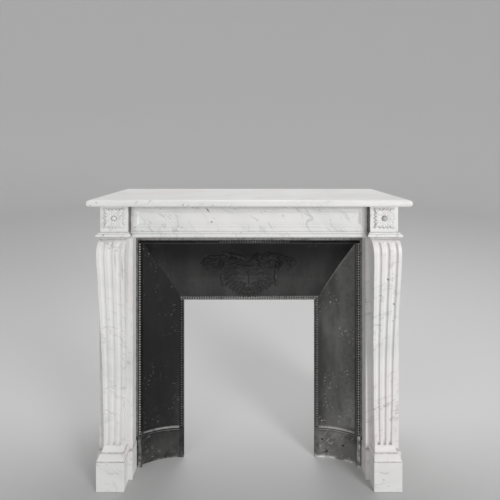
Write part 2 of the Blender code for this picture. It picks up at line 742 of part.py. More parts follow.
def add_branch(bm, side):
    """A stem of short rods, with pairs of leaves beyond the crossing."""
    for k in range(STEM_RODS):
        middle = (k + 0.5) / STEM_RODS
        x0, z0 = branch_spot(k / STEM_RODS, side)
        x1, z1 = branch_spot((k + 1) / STEM_RODS, side)
        reach = math.hypot(x1 - x0, z1 - z0) * STEM_LAP
        size = (reach, STEM_RADIUS, STEM_RADIUS)
        add_leaf(bm, branch_spot(middle, side), branch_angle(middle, side), size)
    for k in range(BRANCH_LEAVES):
        share = BRANCH_BARE_SHARE + (1 - BRANCH_BARE_SHARE) * k / (BRANCH_LEAVES - 1)
        heading = branch_angle(share, side)
        x, z = branch_spot(share, side)
        for hand in (-1, 1):
            angle = heading + hand * math.radians(BRANCH_LEAF_ANGLE)
            spot = (x + LEAF_SIZE[0] * math.cos(angle), z + LEAF_SIZE[0] * math.sin(angle))
            add_leaf(bm, spot, angle, LEAF_SIZE)
    x, z = branch_spot(1.0, side)
    heading = branch_angle(1.0, side)
    tip = (x + LEAF_SIZE[0] * math.cos(heading) / 2, z + LEAF_SIZE[0] * math.sin(heading) / 2)
    add_leaf(bm, tip, heading, LEAF_SIZE)


def add_bow(bm, side):
    """Two ribbon loops on this side of the knot, one up and one hanging."""
    for tilt in (BOW_ANGLE, -BOW_HANG_ANGLE):
        angle = math.radians(tilt) if side > 0 else math.pi - math.radians(tilt)
        reach = BOW_LOOP[0]
        spot = (reach * math.cos(angle), BOW_HEIGHT + reach * math.sin(angle))
        add_leaf(bm, spot, angle, BOW_LOOP)


def add_garland(bm):
    """Two crossed branches, berry clusters, a bow, a swag of flowers and two tassels."""
    for side in (-1, 1):
        add_branch(bm, side)
        add_bow(bm, side)
        for k in range(BERRIES):
            angle = 2 * math.pi * k / BERRIES
            x = side * (BERRY_CLUSTER[0] + BERRY_RING * math.cos(angle))
            add_bud(bm, (x, BERRY_CLUSTER[1] + BERRY_RING * math.sin(angle)), BERRY_RADIUS)
        for k in range(TASSEL_BERRIES):
            add_bud(bm, (side * TASSEL_X, TASSEL_TOP - TASSEL_STEP * k), BERRY_RADIUS)
    add_bud(bm, (0.0, BOW_HEIGHT), KNOT_RADIUS)
    for k in range(SWAG_FLOWERS):
        across = 2 * k / (SWAG_FLOWERS - 1) - 1
        z = SWAG_TOP - SWAG_DROP * (1 - across * across)
        radius = SWAG_FLOWER_RADIUS * (1 - SWAG_END_SHRINK * abs(across))
        add_bud(bm, (SWAG_HALF_WIDTH * across, z), radius)


def main():
    clear_scene()
    parts = new_collection("fireplace_mantel")
    cutters = new_collection("cutters", hidden=True)
    marble = new_material("marble", (0.80, 0.79, 0.78), 0.35)
    iron = new_material("cast_iron", (0.045, 0.045, 0.047), 0.5, 0.6)
    make_shelf(marble, parts)
    make_frieze(marble, parts)
    for side, hand in ((-1, "left"), (1, "right")):
        make_corner_block("corner_block_" + hand, side, marble, parts, cutters)
        make_leg("leg_" + hand, side, marble, parts)
        make_plinth("plinth_" + hand, side, marble, parts)
        make_jamb("jamb_" + hand, side, marble, parts)
        make_jamb_plinth("jamb_plinth_" + hand, side, marble, parts)
        make_side_return("side_return_" + hand, side, marble, parts)
        make_cheek("insert_cheek_" + hand, side, iron, parts)
    make_top_panel(iron, parts, cutters)


main()
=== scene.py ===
import math

import bmesh
import bpy
import numpy as np
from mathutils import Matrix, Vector


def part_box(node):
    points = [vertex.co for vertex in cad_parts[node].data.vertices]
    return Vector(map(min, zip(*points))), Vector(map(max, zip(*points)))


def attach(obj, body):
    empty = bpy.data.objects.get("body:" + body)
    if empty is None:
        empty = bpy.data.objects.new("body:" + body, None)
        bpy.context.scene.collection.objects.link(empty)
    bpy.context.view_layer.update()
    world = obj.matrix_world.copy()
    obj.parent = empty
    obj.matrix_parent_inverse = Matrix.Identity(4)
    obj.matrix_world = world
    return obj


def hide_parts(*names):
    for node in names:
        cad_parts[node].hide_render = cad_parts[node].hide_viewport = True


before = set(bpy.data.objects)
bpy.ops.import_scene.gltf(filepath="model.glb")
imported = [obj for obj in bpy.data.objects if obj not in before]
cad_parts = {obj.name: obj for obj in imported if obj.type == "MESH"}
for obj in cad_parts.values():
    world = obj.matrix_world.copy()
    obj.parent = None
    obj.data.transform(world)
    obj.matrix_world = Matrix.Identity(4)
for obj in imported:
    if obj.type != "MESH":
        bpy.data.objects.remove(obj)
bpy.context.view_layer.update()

print("frame loaded:", len(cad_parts), "nodes")


# Sizes read from the frame: low and high corners of the pieces on the right-hand side
def corners(node):
    low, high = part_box(node)
    return np.array(low), np.array(high)


shelfLow, shelfHigh = corners("shelf")
friezeLow, friezeHigh = corners("frieze")
blockLow, blockHigh = corners("corner_block_right")
jambLow, jambHigh = corners("jamb_right")
legLow, legHigh = corners("leg_right")
plinthLow, plinthHigh = corners("plinth_right")
jambPlinthLow, jambPlinthHigh = corners("jamb_plinth_right")
returnLow, returnHigh = corners("side_return_right")
cheekLow, cheekHigh = corners("insert_cheek_right")
panelLow, panelHigh = corners("insert_top_panel")

wallY = shelfHigh[1]
jambFront = jambLow[1]
jambBack = jambHigh[1]
legX = (jambLow[0] + jambHigh[0]) / 2
openingTop = friezeLow[2]
plinthTop = plinthHigh[2]
seam = 0.0003  # between pieces that touch


# Small shape helpers

# A smooth random field of about unit size: the sum of sine waves that run in random directions
def waves(points, size, seed, count=9):
    rng = np.random.default_rng(seed)
    directions = rng.normal(size=(count, 3))
    directions /= np.linalg.norm(directions, axis=1, keepdims=True)
    lengths = size * rng.uniform(0.6, 1.6, count)
    phases = rng.uniform(0, 2 * np.pi, count)
    angles = points @ (2 * np.pi * directions / lengths[:, None]).T + phases
    return np.sin(angles).sum(axis=-1) / math.sqrt(count / 2)


# Hand work: every point drifts a little, with its own field along each axis
def handWorked(points, size, amount, seed):
    drift = [waves(points, size, seed + axis) for axis in range(3)]
    return points + amount * np.stack(drift, axis=-1)


# A half round from low to high: (height, out) follow a half turn from the base over the crown
def halfRound(low, high, base, crown, count=12):
    turn = np.linspace(0, np.pi, count)
    return low + (high - low) * (1 - np.cos(turn)) / 2, base + (crown - base) * np.sin(turn)


# Rounds each corner of closed outlines with a parabola that leaves the sides a given reach before it
def roundedCorners(outlines, reach, steps=3):
    before = np.roll(outlines, 1, axis=1) - outlines
    after = np.roll(outlines, -1, axis=1) - outlines
    ends = []
    for side in (before, after):
        length = np.maximum(np.linalg.norm(side, axis=2, keepdims=True), 1e-9)
        ends.append(outlines + side / length * np.minimum(reach, 0.45 * length))
    t = np.linspace(0, 1, steps + 1)[None, None, :, None]
    start, corner, end = ends[0][:, :, None], outlines[:, :, None], ends[1][:, :, None]
    arcs = (1 - t) ** 2 * start + 2 * t * (1 - t) * corner + t**2 * end
    return arcs.reshape(len(outlines), -1, 2)


# Adds the height of each row to its plan outline
def raised(outlines, heights):
    z = np.repeat(heights[:, None, None], outlines.shape[1], axis=1)
    return np.concatenate([outlines, z], axis=2)


# How far a height field lies below its own blurred copy, from 0 to 1, so that its hollows are darkened with dirt and
# painted shade
def hollowDirtAndShade(heights, depth, spread=4):
    blurred = heights.copy()
    for _ in range(spread):
        blurred[1:-1] = (blurred[:-2] + 2 * blurred[1:-1] + blurred[2:]) / 4
        blurred[:, 1:-1] = (blurred[:, :-2] + 2 * blurred[:, 1:-1] + blurred[:, 2:]) / 4
    return np.clip((blurred - heights) / depth, 0, 1)


# Closed skins through rings of points: quads round the sides and one face over each end
def skin(rings, grimeShadeAndSheen=None):
    stack = rings.reshape(-1, *rings.shape[-3:])
    shells, rows, cols = stack.shape[:3]
    index = np.arange(rows * cols).reshape(rows, cols)
    ahead = np.roll(index, -1, axis=1)
    quads = np.stack([index[:-1], ahead[:-1], ahead[1:], index[1:]], axis=-1).reshape(-1, 4)
    caps = np.stack([index[0, ::-1], index[-1]])
    offsets = np.arange(shells)[:, None, None] * rows * cols
    dirtAndShade = np.zeros(shells * rows * cols) if grimeShadeAndSheen is None else grimeShadeAndSheen.reshape(-1)
    return {
        "points": stack.reshape(-1, 3),
        "faces": [(quads[None] + offsets).reshape(-1, 4), (caps[None] + offsets).reshape(-1, cols)],
        "grimeShadeAndSheen": dirtAndShade,
    }


# A box whose arrises are rounded: each point of its faces is drawn in to a ball that rolls inside the box
def wornBox(low, high, spacing, arris, chips, seed, joint=0.0):
    lines = []
    for axis in range(3):
        inner = np.linspace(low[axis] + 3 * arris, high[axis] - 3 * arris,
                            max(2, int((high[axis] - low[axis]) / spacing)))
        rim = arris * np.array([0, 0.35, 0.7, 1.2, 2.0])
        lines.append(np.concatenate([low[axis] + rim, inner, high[axis] - rim[::-1]]))
    points, faces, offset = [], [], 0
    for axis in range(3):
        across, along = [lines[k] for k in range(3) if k != axis]
        for level in (low[axis], high[axis]):
            a, b = np.meshgrid(across, along, indexing="ij")
            side = np.insert(np.stack([a, b], axis=-1), axis, level, axis=-1)
            index = np.arange(a.size).reshape(a.shape) + offset
            quads = np.stack([index[:-1, :-1], index[1:, :-1], index[1:, 1:], index[:-1, 1:]], axis=-1)
            points.append(side.reshape(-1, 3))
            faces.append(quads.reshape(-1, 4))
            offset += a.size
    points = np.concatenate(points)
    knocks = np.clip(waves(points, 0.016, seed) * waves(points, 0.055, seed + 5) - 1.0, 0, 2)
    ball = (arris + chips * knocks)[:, None]
    centre = np.clip(points, low + ball, high - ball)
    reach = points - centre
    length = np.maximum(np.linalg.norm(reach, axis=1, keepdims=True), 1e-9)
    points = centre + reach / length * np.minimum(ball, length)
    dirtAndShade = joint * np.exp(-(high[2] - points[:, 2]) / 0.0012)
    return {"points": points, "faces": [np.concatenate(faces)], "grimeShadeAndSheen": dirtAndShade}


# Puts shells into one mesh, merges the points that meet, turns the faces out and dresses the piece
def makePiece(name, shells, material, replaced=(), sharpAngle=38):
    points = np.concatenate([shell["points"] for shell in shells])
    corners, sizes, offset = [], [], 0
    for shell in shells:
        for faces in shell["faces"]:
            corners.append((faces + offset).reshape(-1))
            sizes.append(np.full(len(faces), faces.shape[1]))
        offset += len(shell["points"])
    corners, sizes = np.concatenate(corners), np.concatenate(sizes)
    mesh = bpy.data.meshes.new(name)
    mesh.vertices.add(len(points))
    mesh.vertices.foreach_set("co", points.astype(np.float32).reshape(-1))
    mesh.loops.add(len(corners))
    mesh.loops.foreach_set("vertex_index", corners.astype(np.int32))
    mesh.polygons.add(len(sizes))
    mesh.polygons.foreach_set("loop_start", (np.cumsum(sizes) - sizes).astype(np.int32))
    mesh.update(calc_edges=True)
    grimeShadeAndSheen = mesh.attributes.new("grimeShadeAndSheen", "FLOAT", "POINT")
    grimeShadeAndSheen.data.foreach_set("value", np.concatenate([shell["grimeShadeAndSheen"] for shell in shells]).astype(np.float32))
    work = bmesh.new()
    work.from_mesh(mesh)
    bmesh.ops.remove_doubles(work, verts=work.verts, dist=0.000002)
    bmesh.ops.recalc_face_normals(work, faces=work.faces)
    work.to_mesh(mesh)
    work.free()
    mesh.materials.append(material)
    mesh.shade_smooth()
    mesh.set_sharp_from_angle(angle=math.radians(sharpAngle))
    piece = bpy.data.objects.new(name, mesh)
    bpy.context.scene.collection.objects.link(piece)
    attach(piece, "root")
    if replaced:
        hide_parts(*replaced)
    print("  %s: %d faces" % (name, len(mesh.polygons)))
    return piece


# Shader helpers

# Adds a node; a wire is another node's socket or a plain value
def place(tree, kind, wires=None, **settings):
    made = tree.nodes.new("ShaderNode" + kind)
    for key, value in settings.items():
        setattr(made, key, value)
    for key, value in (wires or {}).items():
        if isinstance(value, bpy.types.NodeSocket):
            tree.links.new(value, made.inputs[key])
        else:
            made.inputs[key].default_value = value
    return made


def maths(tree, operation, first, second=0.0, clamp=False):
    return place(tree, "Math", {0: first, 1: second}, operation=operation, use_clamp=clamp).outputs[0]


# Smooth step of a value from one limit to another
def ramp(tree, value, fromMin, fromMax, toMin=0.0, toMax=1.0):
    wires = {"Value": value, "From Min": fromMin, "From Max": fromMax, "To Min": toMin, "To Max": toMax}
    return place(tree, "MapRange", wires, interpolation_type="SMOOTHSTEP").outputs["Result"]


def noise(tree, vector, scale, detail=3.0, roughness=0.5):
    wires = {"Vector": vector, "Scale": scale, "Detail": detail, "Roughness": roughness}
    return place(tree, "TexNoise", wires).outputs["Fac"]


def blend(tree, share, first, second, mode="MIX"):
    made = tree.nodes.new("ShaderNodeMix")
    made.data_type = "RGBA"
    made.blend_type = mode
    for index, value in ((0, share), (6, first), (7, second)):
        if isinstance(value, bpy.types.NodeSocket):
            tree.links.new(value, made.inputs[index])
        else:
            made.inputs[index].default_value = value if index == 0 else (*value, 1.0)
    return made.outputs[2]


def newGroup(name, inputs, outputs):
    group = bpy.data.node_groups.new(name, "ShaderNodeTree")
    for title, kind, value in inputs:
        socket = group.interface.new_socket(title, in_out="INPUT", socket_type="NodeSocket" + kind)
        if value is not None:
            socket.default_value = value
    for title, kind in outputs:
        group.interface.new_socket(title, in_out="OUTPUT", socket_type="NodeSocket" + kind)
    return group, group.nodes.new("NodeGroupInput"), group.nodes.new("NodeGroupOutput")


def useGroup(tree, group, wires):
    made = tree.nodes.new("ShaderNodeGroup")
    made.node_tree = group
    for key, value in wires.items():
        if isinstance(value, bpy.types.NodeSocket):
            tree.links.new(value, made.inputs[key])
        else:
            made.inputs[key].default_value = value
    return made


# Thin lines where a warped noise crosses its middle value, kept only in patches of a coarser noise
def makeVeinGroup():
    group, given, result = newGroup(
        "stoneVeins",
        [("Place", "Vector", None), ("Scale", "Float", 4.0), ("Width", "Float", 0.02), ("Cover", "Float", 0.5)],
        [("Vein", "Float"), ("Cloud", "Float")],
    )
    spot, scale = given.outputs["Place"], given.outputs["Scale"]
    warp = place(group, "TexNoise", {"Vector": spot, "Scale": maths(group, "MULTIPLY", scale, 1.6), "Detail": 2.0})
    centred = place(group, "VectorMath", {0: warp.outputs["Color"], 1: (0.5, 0.5, 0.5)}, operation="SUBTRACT")
    reach = maths(group, "DIVIDE", 0.55, scale)
    pushed = place(group, "VectorMath", {0: centred.outputs[0], "Scale": reach}, operation="SCALE")
    warped = place(group, "VectorMath", {0: spot, 1: pushed.outputs[0]}, operation="ADD").outputs[0]
    line = noise(group, warped, scale, 4.0, 0.55)
    ridge = maths(group, "ABSOLUTE", maths(group, "SUBTRACT", line, 0.5))
    thin = ramp(group, ridge, 0.0, given.outputs["Width"], 1.0, 0.0)
    patch = noise(group, spot, maths(group, "MULTIPLY", scale, 1.1), 3.0, 0.6)
    lower = maths(group, "SUBTRACT", 1.0, given.outputs["Cover"])
    kept = ramp(group, patch, lower, maths(group, "ADD", lower, 0.10))
    group.links.new(maths(group, "MULTIPLY", thin, kept), result.inputs["Vein"])
    cloud = noise(group, warped, maths(group, "MULTIPLY", scale, 0.9), 5.0, 0.62)
    group.links.new(ramp(group, cloud, 0.42, 0.72), result.inputs["Cloud"])
    return group


# Specks and scuffs: the tops of a fine noise inside patches of a coarse one
def makeSpeckGroup():
    group, given, result = newGroup(
        "specks",
        [("Place", "Vector", None), ("Scale", "Float", 60.0), ("Patch", "Float", 6.0), ("Cover", "Float", 0.4)],
        [("Mask", "Float"), ("Grain", "Float")],
    )
    spot = given.outputs["Place"]
    fine = noise(group, spot, given.outputs["Scale"], 4.0, 0.65)
    coarse = noise(group, spot, given.outputs["Patch"], 3.0, 0.55)
    lower = maths(group, "SUBTRACT", 1.0, given.outputs["Cover"])
    dots = ramp(group, fine, 0.60, 0.68)
    patches = ramp(group, coarse, lower, maths(group, "ADD", lower, 0.12))
    group.links.new(maths(group, "MULTIPLY", dots, patches), result.inputs["Mask"])
    group.links.new(fine, result.inputs["Grain"])
    return group


# Dirt and soot, rubbed wear, painted shade and painted highlight from the pieces' own attribute, broken up by noise
def makeGrimeShadeSheenGroup():
    group, given, result = newGroup(
        "grimeShadeAndSheen",
        [("Place", "Vector", None), ("Amount", "Float", 0.0), ("Scale", "Float", 45.0)],
        [("Mask", "Float")],
    )
    broken = noise(group, given.outputs["Place"], given.outputs["Scale"], 4.0, 0.6)
    uneven = ramp(group, broken, 0.30, 0.60, 0.5, 1.0)
    group.links.new(maths(group, "MULTIPLY", given.outputs["Amount"], uneven, True), result.inputs["Mask"])
    return group


veinGroup = makeVeinGroup()
speckGroup = makeSpeckGroup()
grimeShadeSheenGroup = makeGrimeShadeSheenGroup()


def blankMaterial(name):
    material = bpy.data.materials.new(name)
    material.use_nodes = True
    tree = material.node_tree
    tree.nodes.clear()
    shader = tree.nodes.new("ShaderNodeBsdfPrincipled")
    output = tree.nodes.new("ShaderNodeOutputMaterial")
    tree.links.new(shader.outputs[0], output.inputs[0])
    return material, tree, shader


marble = {
    "light": (0.83, 0.825, 0.815),
    "cloud": (0.64, 0.65, 0.65),
    "cloudShare": 0.45,
    "vein": (0.22, 0.225, 0.23),
    "veinShare": 0.34,
    "fineShare": 0.22,
    "spotShare": 0.50,
    "warm": (0.83, 0.775, 0.765),
    "cool": (0.77, 0.80, 0.78),
    "dirtAndShade": (0.085, 0.073, 0.062),
    "veinScale": 7.0,
    "stretch": (1.0, 1.0, 3.0),  # along the veins
    "roughness": (0.34, 0.52),
}


# Dark marks at set places of the front: an ellipse with a ragged edge, turned in the plane of the front.
# Each has X, Z, turn in degrees, half length, half width and share
def addMarks(tree, spot, colour, marks):
    ragged = maths(tree, "MULTIPLY", noise(tree, spot, 190.0, 3.0, 0.6), 0.9)
    for x, z, turn, length, width, share in marks:
        local = place(tree, "Mapping", {
            "Vector": spot, "Location": (x, 0, z), "Rotation": (0, math.radians(turn), 0),
            "Scale": (length, 1000.0, width),
        }, vector_type="TEXTURE").outputs["Vector"]
        reach = place(tree, "VectorMath", {0: local}, operation="LENGTH").outputs["Value"]
        soft = ramp(tree, maths(tree, "ADD", reach, ragged), 0.75, 1.6, share, 0.0)
        colour = blend(tree, soft, colour, marble["vein"])
    return colour


# Polished white marble: grey clouds, long and fine veins, dark knots, warm and cool patches,
# dirt in the joints, dirt and painted shade in the hollows, and painted shade in the creases and under the shelf
def makeMarble(name, shift, turn, cover=0.50, veinScale=1.0, marks=()):
    material, tree, shader = blankMaterial(name)
    spot = place(tree, "TexCoord").outputs["Object"]
    slab = place(tree, "Mapping", {
        "Vector": spot, "Location": shift, "Rotation": [math.radians(a) for a in turn],
        "Scale": marble["stretch"],
    }, vector_type="TEXTURE").outputs["Vector"]
    scale = marble["veinScale"] * veinScale
    long = useGroup(tree, veinGroup, {"Place": slab, "Scale": scale, "Width": 0.016, "Cover": cover})
    fine = useGroup(tree, veinGroup, {"Place": slab, "Scale": scale * 2.6, "Width": 0.034, "Cover": cover})
    colour = blend(tree, maths(tree, "MULTIPLY", long.outputs["Cloud"], marble["cloudShare"]),
                   marble["light"], marble["cloud"])
    colour = blend(tree, ramp(tree, noise(tree, slab, 5.0, 3.0), 0.50, 0.66, 0.0, 0.55), colour, marble["warm"])
    colour = blend(tree, ramp(tree, noise(tree, slab, 4.1, 3.0), 0.52, 0.68, 0.0, 0.35), colour, marble["cool"])
    colour = blend(tree, maths(tree, "MULTIPLY", fine.outputs["Vein"], marble["fineShare"]), colour, marble["vein"])
    colour = blend(tree, maths(tree, "MULTIPLY", long.outputs["Vein"], marble["veinShare"]), colour, marble["vein"])
    knots = useGroup(tree, speckGroup, {"Place": spot, "Scale": 62.0, "Patch": 11.0, "Cover": cover - 0.06})
    colour = blend(tree, maths(tree, "MULTIPLY", knots.outputs["Mask"], marble["spotShare"]), colour, marble["vein"])
    colour = addMarks(tree, spot, colour, marks)
    amount = place(tree, "Attribute", attribute_name="grimeShadeAndSheen").outputs["Fac"]
    grimeShadeAndSheen = useGroup(tree, grimeShadeSheenGroup, {"Place": spot, "Amount": amount, "Scale": 60.0}).outputs["Mask"]
    # the dark colour is dirt in the joints and painted shade in the hollows, the creases and under the shelf
    colour = blend(tree, maths(tree, "MULTIPLY", grimeShadeAndSheen, 0.85), colour, marble["dirtAndShade"])
    tree.links.new(colour, shader.inputs["Base Color"])
    smooth, dull = marble["roughness"]
    scuffed = ramp(tree, noise(tree, spot, 14.0, 5.0, 0.6), 0.35, 0.7, smooth, dull)
    tree.links.new(scuffed, shader.inputs["Roughness"])
    bump = place(tree, "Bump", {
        "Strength": 0.25, "Distance": 0.0006,
        "Height": maths(tree, "SUBTRACT", noise(tree, spot, 120.0, 4.0, 0.6), knots.outputs["Mask"]),
    })
    tree.links.new(bump.outputs["Normal"], shader.inputs["Normal"])
    return material


iron = {
    "black": (0.013, 0.013, 0.0135),
    "sootAndShade": (0.002, 0.002, 0.002),
    "dusty": (0.18, 0.178, 0.173),
    "rubbedAndHighlight": (0.50, 0.495, 0.485),
    "lime": (0.48, 0.47, 0.45),
    "crust": (0.80, 0.79, 0.76),
    "rust": (0.060, 0.046, 0.038),
    "roughness": (0.45, 0.70),
    "metallic": 0.0,
    "specular": 0.22,
    "dustFoot": (0.02, 0.17),  # heights between which floor dust and lime fade out
}


# Blackened cast iron: dusty towards one side and the floor, with lime specks, a little rust and a
# cast skin. Above zero its attribute marks rubbed or dusty places and painted highlights, above one a crust of lime,
# and below zero soot and painted shade
def makeIron(name, dust, floorDust, lime):
    material, tree, shader = blankMaterial(name)
    spot = place(tree, "TexCoord").outputs["Object"]
    height = place(tree, "SeparateXYZ", {0: spot}).outputs["Z"]
    nearFloor = ramp(tree, height, *iron["dustFoot"], 1.0, 0.0)
    drawn = place(tree, "Mapping", {"Vector": spot, "Scale": (1.0, 1.0, 0.35)}).outputs["Vector"]
    mottled = ramp(tree, noise(tree, drawn, 9.0, 5.0, 0.62), 0.38, 0.68, 0.35, 1.0)
    film = maths(tree, "MULTIPLY", mottled, dust)
    heavy = ramp(tree, noise(tree, spot, 16.0, 5.0, 0.65), 0.30, 0.60)
    film = maths(tree, "ADD", film, maths(tree, "MULTIPLY", maths(tree, "MULTIPLY", nearFloor, heavy), floorDust), True)
    colour = blend(tree, film, iron["black"], iron["dusty"])
    rusty = ramp(tree, noise(tree, spot, 23.0, 4.0, 0.6), 0.58, 0.74, 0.0, 0.22)
    colour = blend(tree, rusty, colour, iron["rust"])
    amount = place(tree, "Attribute", attribute_name="grimeShadeAndSheen").outputs["Fac"]
    rubbedAndHighlight = useGroup(tree, grimeShadeSheenGroup, {"Place": spot, "Amount": amount, "Scale": 70.0}).outputs["Mask"]
    colour = blend(tree, rubbedAndHighlight, colour, iron["rubbedAndHighlight"])
    crust = maths(tree, "MULTIPLY", ramp(tree, amount, 0.9, 1.7), ramp(tree, noise(tree, spot, 90.0), 0.3, 0.6, 0.3, 1.0))
    colour = blend(tree, crust, colour, iron["crust"])
    sootAndShadeShare = maths(tree, "MULTIPLY", amount, -1.0, True)
    colour = blend(tree, sootAndShadeShare, colour, iron["sootAndShade"])
    floorSpecks = useGroup(tree, speckGroup, {"Place": spot, "Scale": 55.0, "Patch": 14.0, "Cover": 0.60})
    highSpecks = useGroup(tree, speckGroup, {"Place": spot, "Scale": 120.0, "Patch": 11.0, "Cover": 0.52})
    low = maths(tree, "MULTIPLY", floorSpecks.outputs["Mask"], nearFloor)
    specks = maths(tree, "ADD", low, maths(tree, "MULTIPLY", highSpecks.outputs["Mask"], 0.8), True)
    colour = blend(tree, maths(tree, "MULTIPLY", specks, lime), colour, iron["lime"])
    # pale scuffs that run slantwise near the floor
    slanted = place(tree, "Mapping", {
        "Vector": spot, "Rotation": (0, math.radians(38), 0), "Scale": (1.0, 1.0, 5.0),
    }, vector_type="TEXTURE").outputs["Vector"]
    scuffs = useGroup(tree, speckGroup, {"Place": slanted, "Scale": 85.0, "Patch": 12.0, "Cover": 0.62})
    scuffShare = maths(tree, "MULTIPLY", maths(tree, "MULTIPLY", scuffs.outputs["Mask"], nearFloor), 0.7 * lime)
    colour = blend(tree, scuffShare, colour, iron["lime"])
    tree.links.new(colour, shader.inputs["Base Color"])
    shader.inputs["Metallic"].default_value = iron["metallic"]
    shader.inputs["Specular IOR Level"].default_value = iron["specular"]
    polished, dull = iron["roughness"]
    tree.links.new(ramp(tree, noise(tree, spot, 11.0, 5.0, 0.6), 0.3, 0.7, polished, dull), shader.inputs["Roughness"])
    bump = place(tree, "Bump", {
        "Strength": 0.35, "Distance": 0.0008, "Height": noise(tree, spot, 170.0, 5.0, 0.65),
    })
    tree.links.new(bump.outputs["Normal"], shader.inputs["Normal"])
    return material


# Marks that show in the photograph, from left to right along each piece
shelfMarks = (
    (-0.2422, 1.0815, -50, 0.0071, 0.0024, 0.7),
    (-0.2234, 1.0802, 0, 0.0058, 0.0031, 0.38),
    (-0.1337, 1.08, 0, 0.0044, 0.0028, 0.5),
    (-0.0688, 1.0764, 0, 0.0039, 0.0026, 0.38),
    (-0.5608, 1.0893, 20, 0.0052, 0.0028, 0.5),
    (-0.584, 1.079, 0, 0.0052, 0.0028, 0.5),
    (-0.4165, 1.0867, 40, 0.0077, 0.0019, 0.28),
    (0.2635, 1.0802, 0, 0.0052, 0.0028, 0.25),
    (-0.3521, 1.088, 42, 0.0116, 0.0017, 0.22),
)
friezeMarks = (
    (-0.1627, 1.046, 55, 0.0118, 0.0036, 0.97),
    (-0.1488, 0.9981, 20, 0.0055, 0.0047, 0.85),
    (-0.1377, 1.012, 50, 0.0069, 0.0019, 0.3),
    (-0.3496, 1.0518, 0, 0.0042, 0.0028, 0.6),
    (-0.3385, 1.0189, 48, 0.0277, 0.0018, 0.22),
    (-0.2859, 1.0216, 42, 0.018, 0.0021, 0.3),
    (-0.3141, 1.0111, 0, 0.003, 0.0028, 0.55),
    (-0.4498, 0.9798, 0, 0.0042, 0.0036, 0.55),
    (-0.0547, 1.0521, 8, 0.0083, 0.0028, 0.35),
    (-0.254, 0.9732, 35, 0.0235, 0.0021, 0.22),
    (0.0326, 1.0042, 60, 0.0062, 0.0028, 0.42),
    (0.0838, 0.9843, 56, 0.0235, 0.0028, 0.3),
    (0.1918, 1.0466, 50, 0.0125, 0.0028, 0.45),
    (0.2112, 1.0175, 75, 0.0208, 0.003, 0.18),
    (0.322, 1.005, 58, 0.0097, 0.0028, 0.24),
    (0.3136, 0.9704, 42, 0.0166, 0.003, 0.26),
    (0.0492, 1.0369, 70, 0.018, 0.0022, 0.22),
)
leftMarks = (
    (-0.503, 0.870, 88, 0.045, 0.0045, 0.30),
    (-0.4775, 0.835, 89, 0.060, 0.0038, 0.42),
    (-0.520, 0.925, 100, 0.020, 0.0034, 0.35),
    (-0.5, 0.905, 30, 0.0075, 0.0022, 0.55),
    (-0.527, 0.912, 34, 0.006, 0.0018, 0.45),
    (-0.52, 0.605, 12, 0.026, 0.0018, 0.34),
    (-0.548, 0.365, -20, 0.012, 0.002, 0.45),
    (-0.531, 0.52, 24, 0.018, 0.0016, 0.25),
)
rightMarks = (
    (0.5255, 0.7933, 60, 0.0062, 0.0042, 0.92),
    (0.552, 0.6956, 65, 0.006, 0.004, 0.9),
    (0.5396, 0.7902, 10, 0.0026, 0.0022, 0.6),
    (0.4995, 0.7309, -10, 0.010, 0.0018, 0.42),
    (0.5501, 0.6277, 50, 0.0042, 0.0034, 0.5),
    (0.4955, 0.6120, -8, 0.010, 0.003, 0.35),
    (0.505, 0.0457, 25, 0.006, 0.0034, 0.45),
    (0.52, 0.56, -28, 0.016, 0.0016, 0.3),
    (0.53, 0.33, -24, 0.02, 0.0016, 0.28),
    (0.512, 0.205, -32, 0.014, 0.0018, 0.3),
)
blockMarks = (
    (-0.559, 0.9572, 10, 0.0046, 0.004, 0.7),
    (-0.543, 0.961, 40, 0.006, 0.0018, 0.3),
)

shelfMarble = makeMarble("shelfMarble", (0.3, 0.1, 0.7), (0, 76, 12), 0.43, 0.8, shelfMarks)
friezeMarble = makeMarble("friezeMarble", (1.7, 0.4, 0.2), (0, -42, 0), 0.52, 0.9, friezeMarks)
leftMarble = makeMarble("leftMarble", (4.1, 0.8, 2.3), (0, -68, 10), 0.50, 1.0, leftMarks)
rightMarble = makeMarble("rightMarble", (7.2, 1.9, 5.1), (0, 66, -8), 0.52, 1.0, rightMarks)
blockMarble = makeMarble("blockMarble", (2.4, 3.3, 1.1), (0, 50, 0), 0.48, 1.2, blockMarks)
returnMarble = makeMarble("returnMarble", (5.5, 2.2, 8.4), (35, 0, 20), 0.45, 0.8)
leftIron = makeIron("leftIron", 0.05, 0.30, 0.34)
rightIron = makeIron("rightIron", 0.64, 1.0, 1.0)
panelIron = makeIron("panelIron", 0.17, 0.0, 0.10)
print("materials made")


# The shelf: rectangles in plan, each a little further in or out as the nose is followed upwards
shelf = {
    "topRound": (0.012, 0.0095),  # inwards, downwards
    "footRound": (0.005, 0.0085),
    "endRound": (0.011, 0.016),  # inwards at the foot and the top of both ends
    "cornerReach": 0.007,
    "spacing": 0.006,
    "uneven": 0.00028,
    "chips": 0.0016,
}


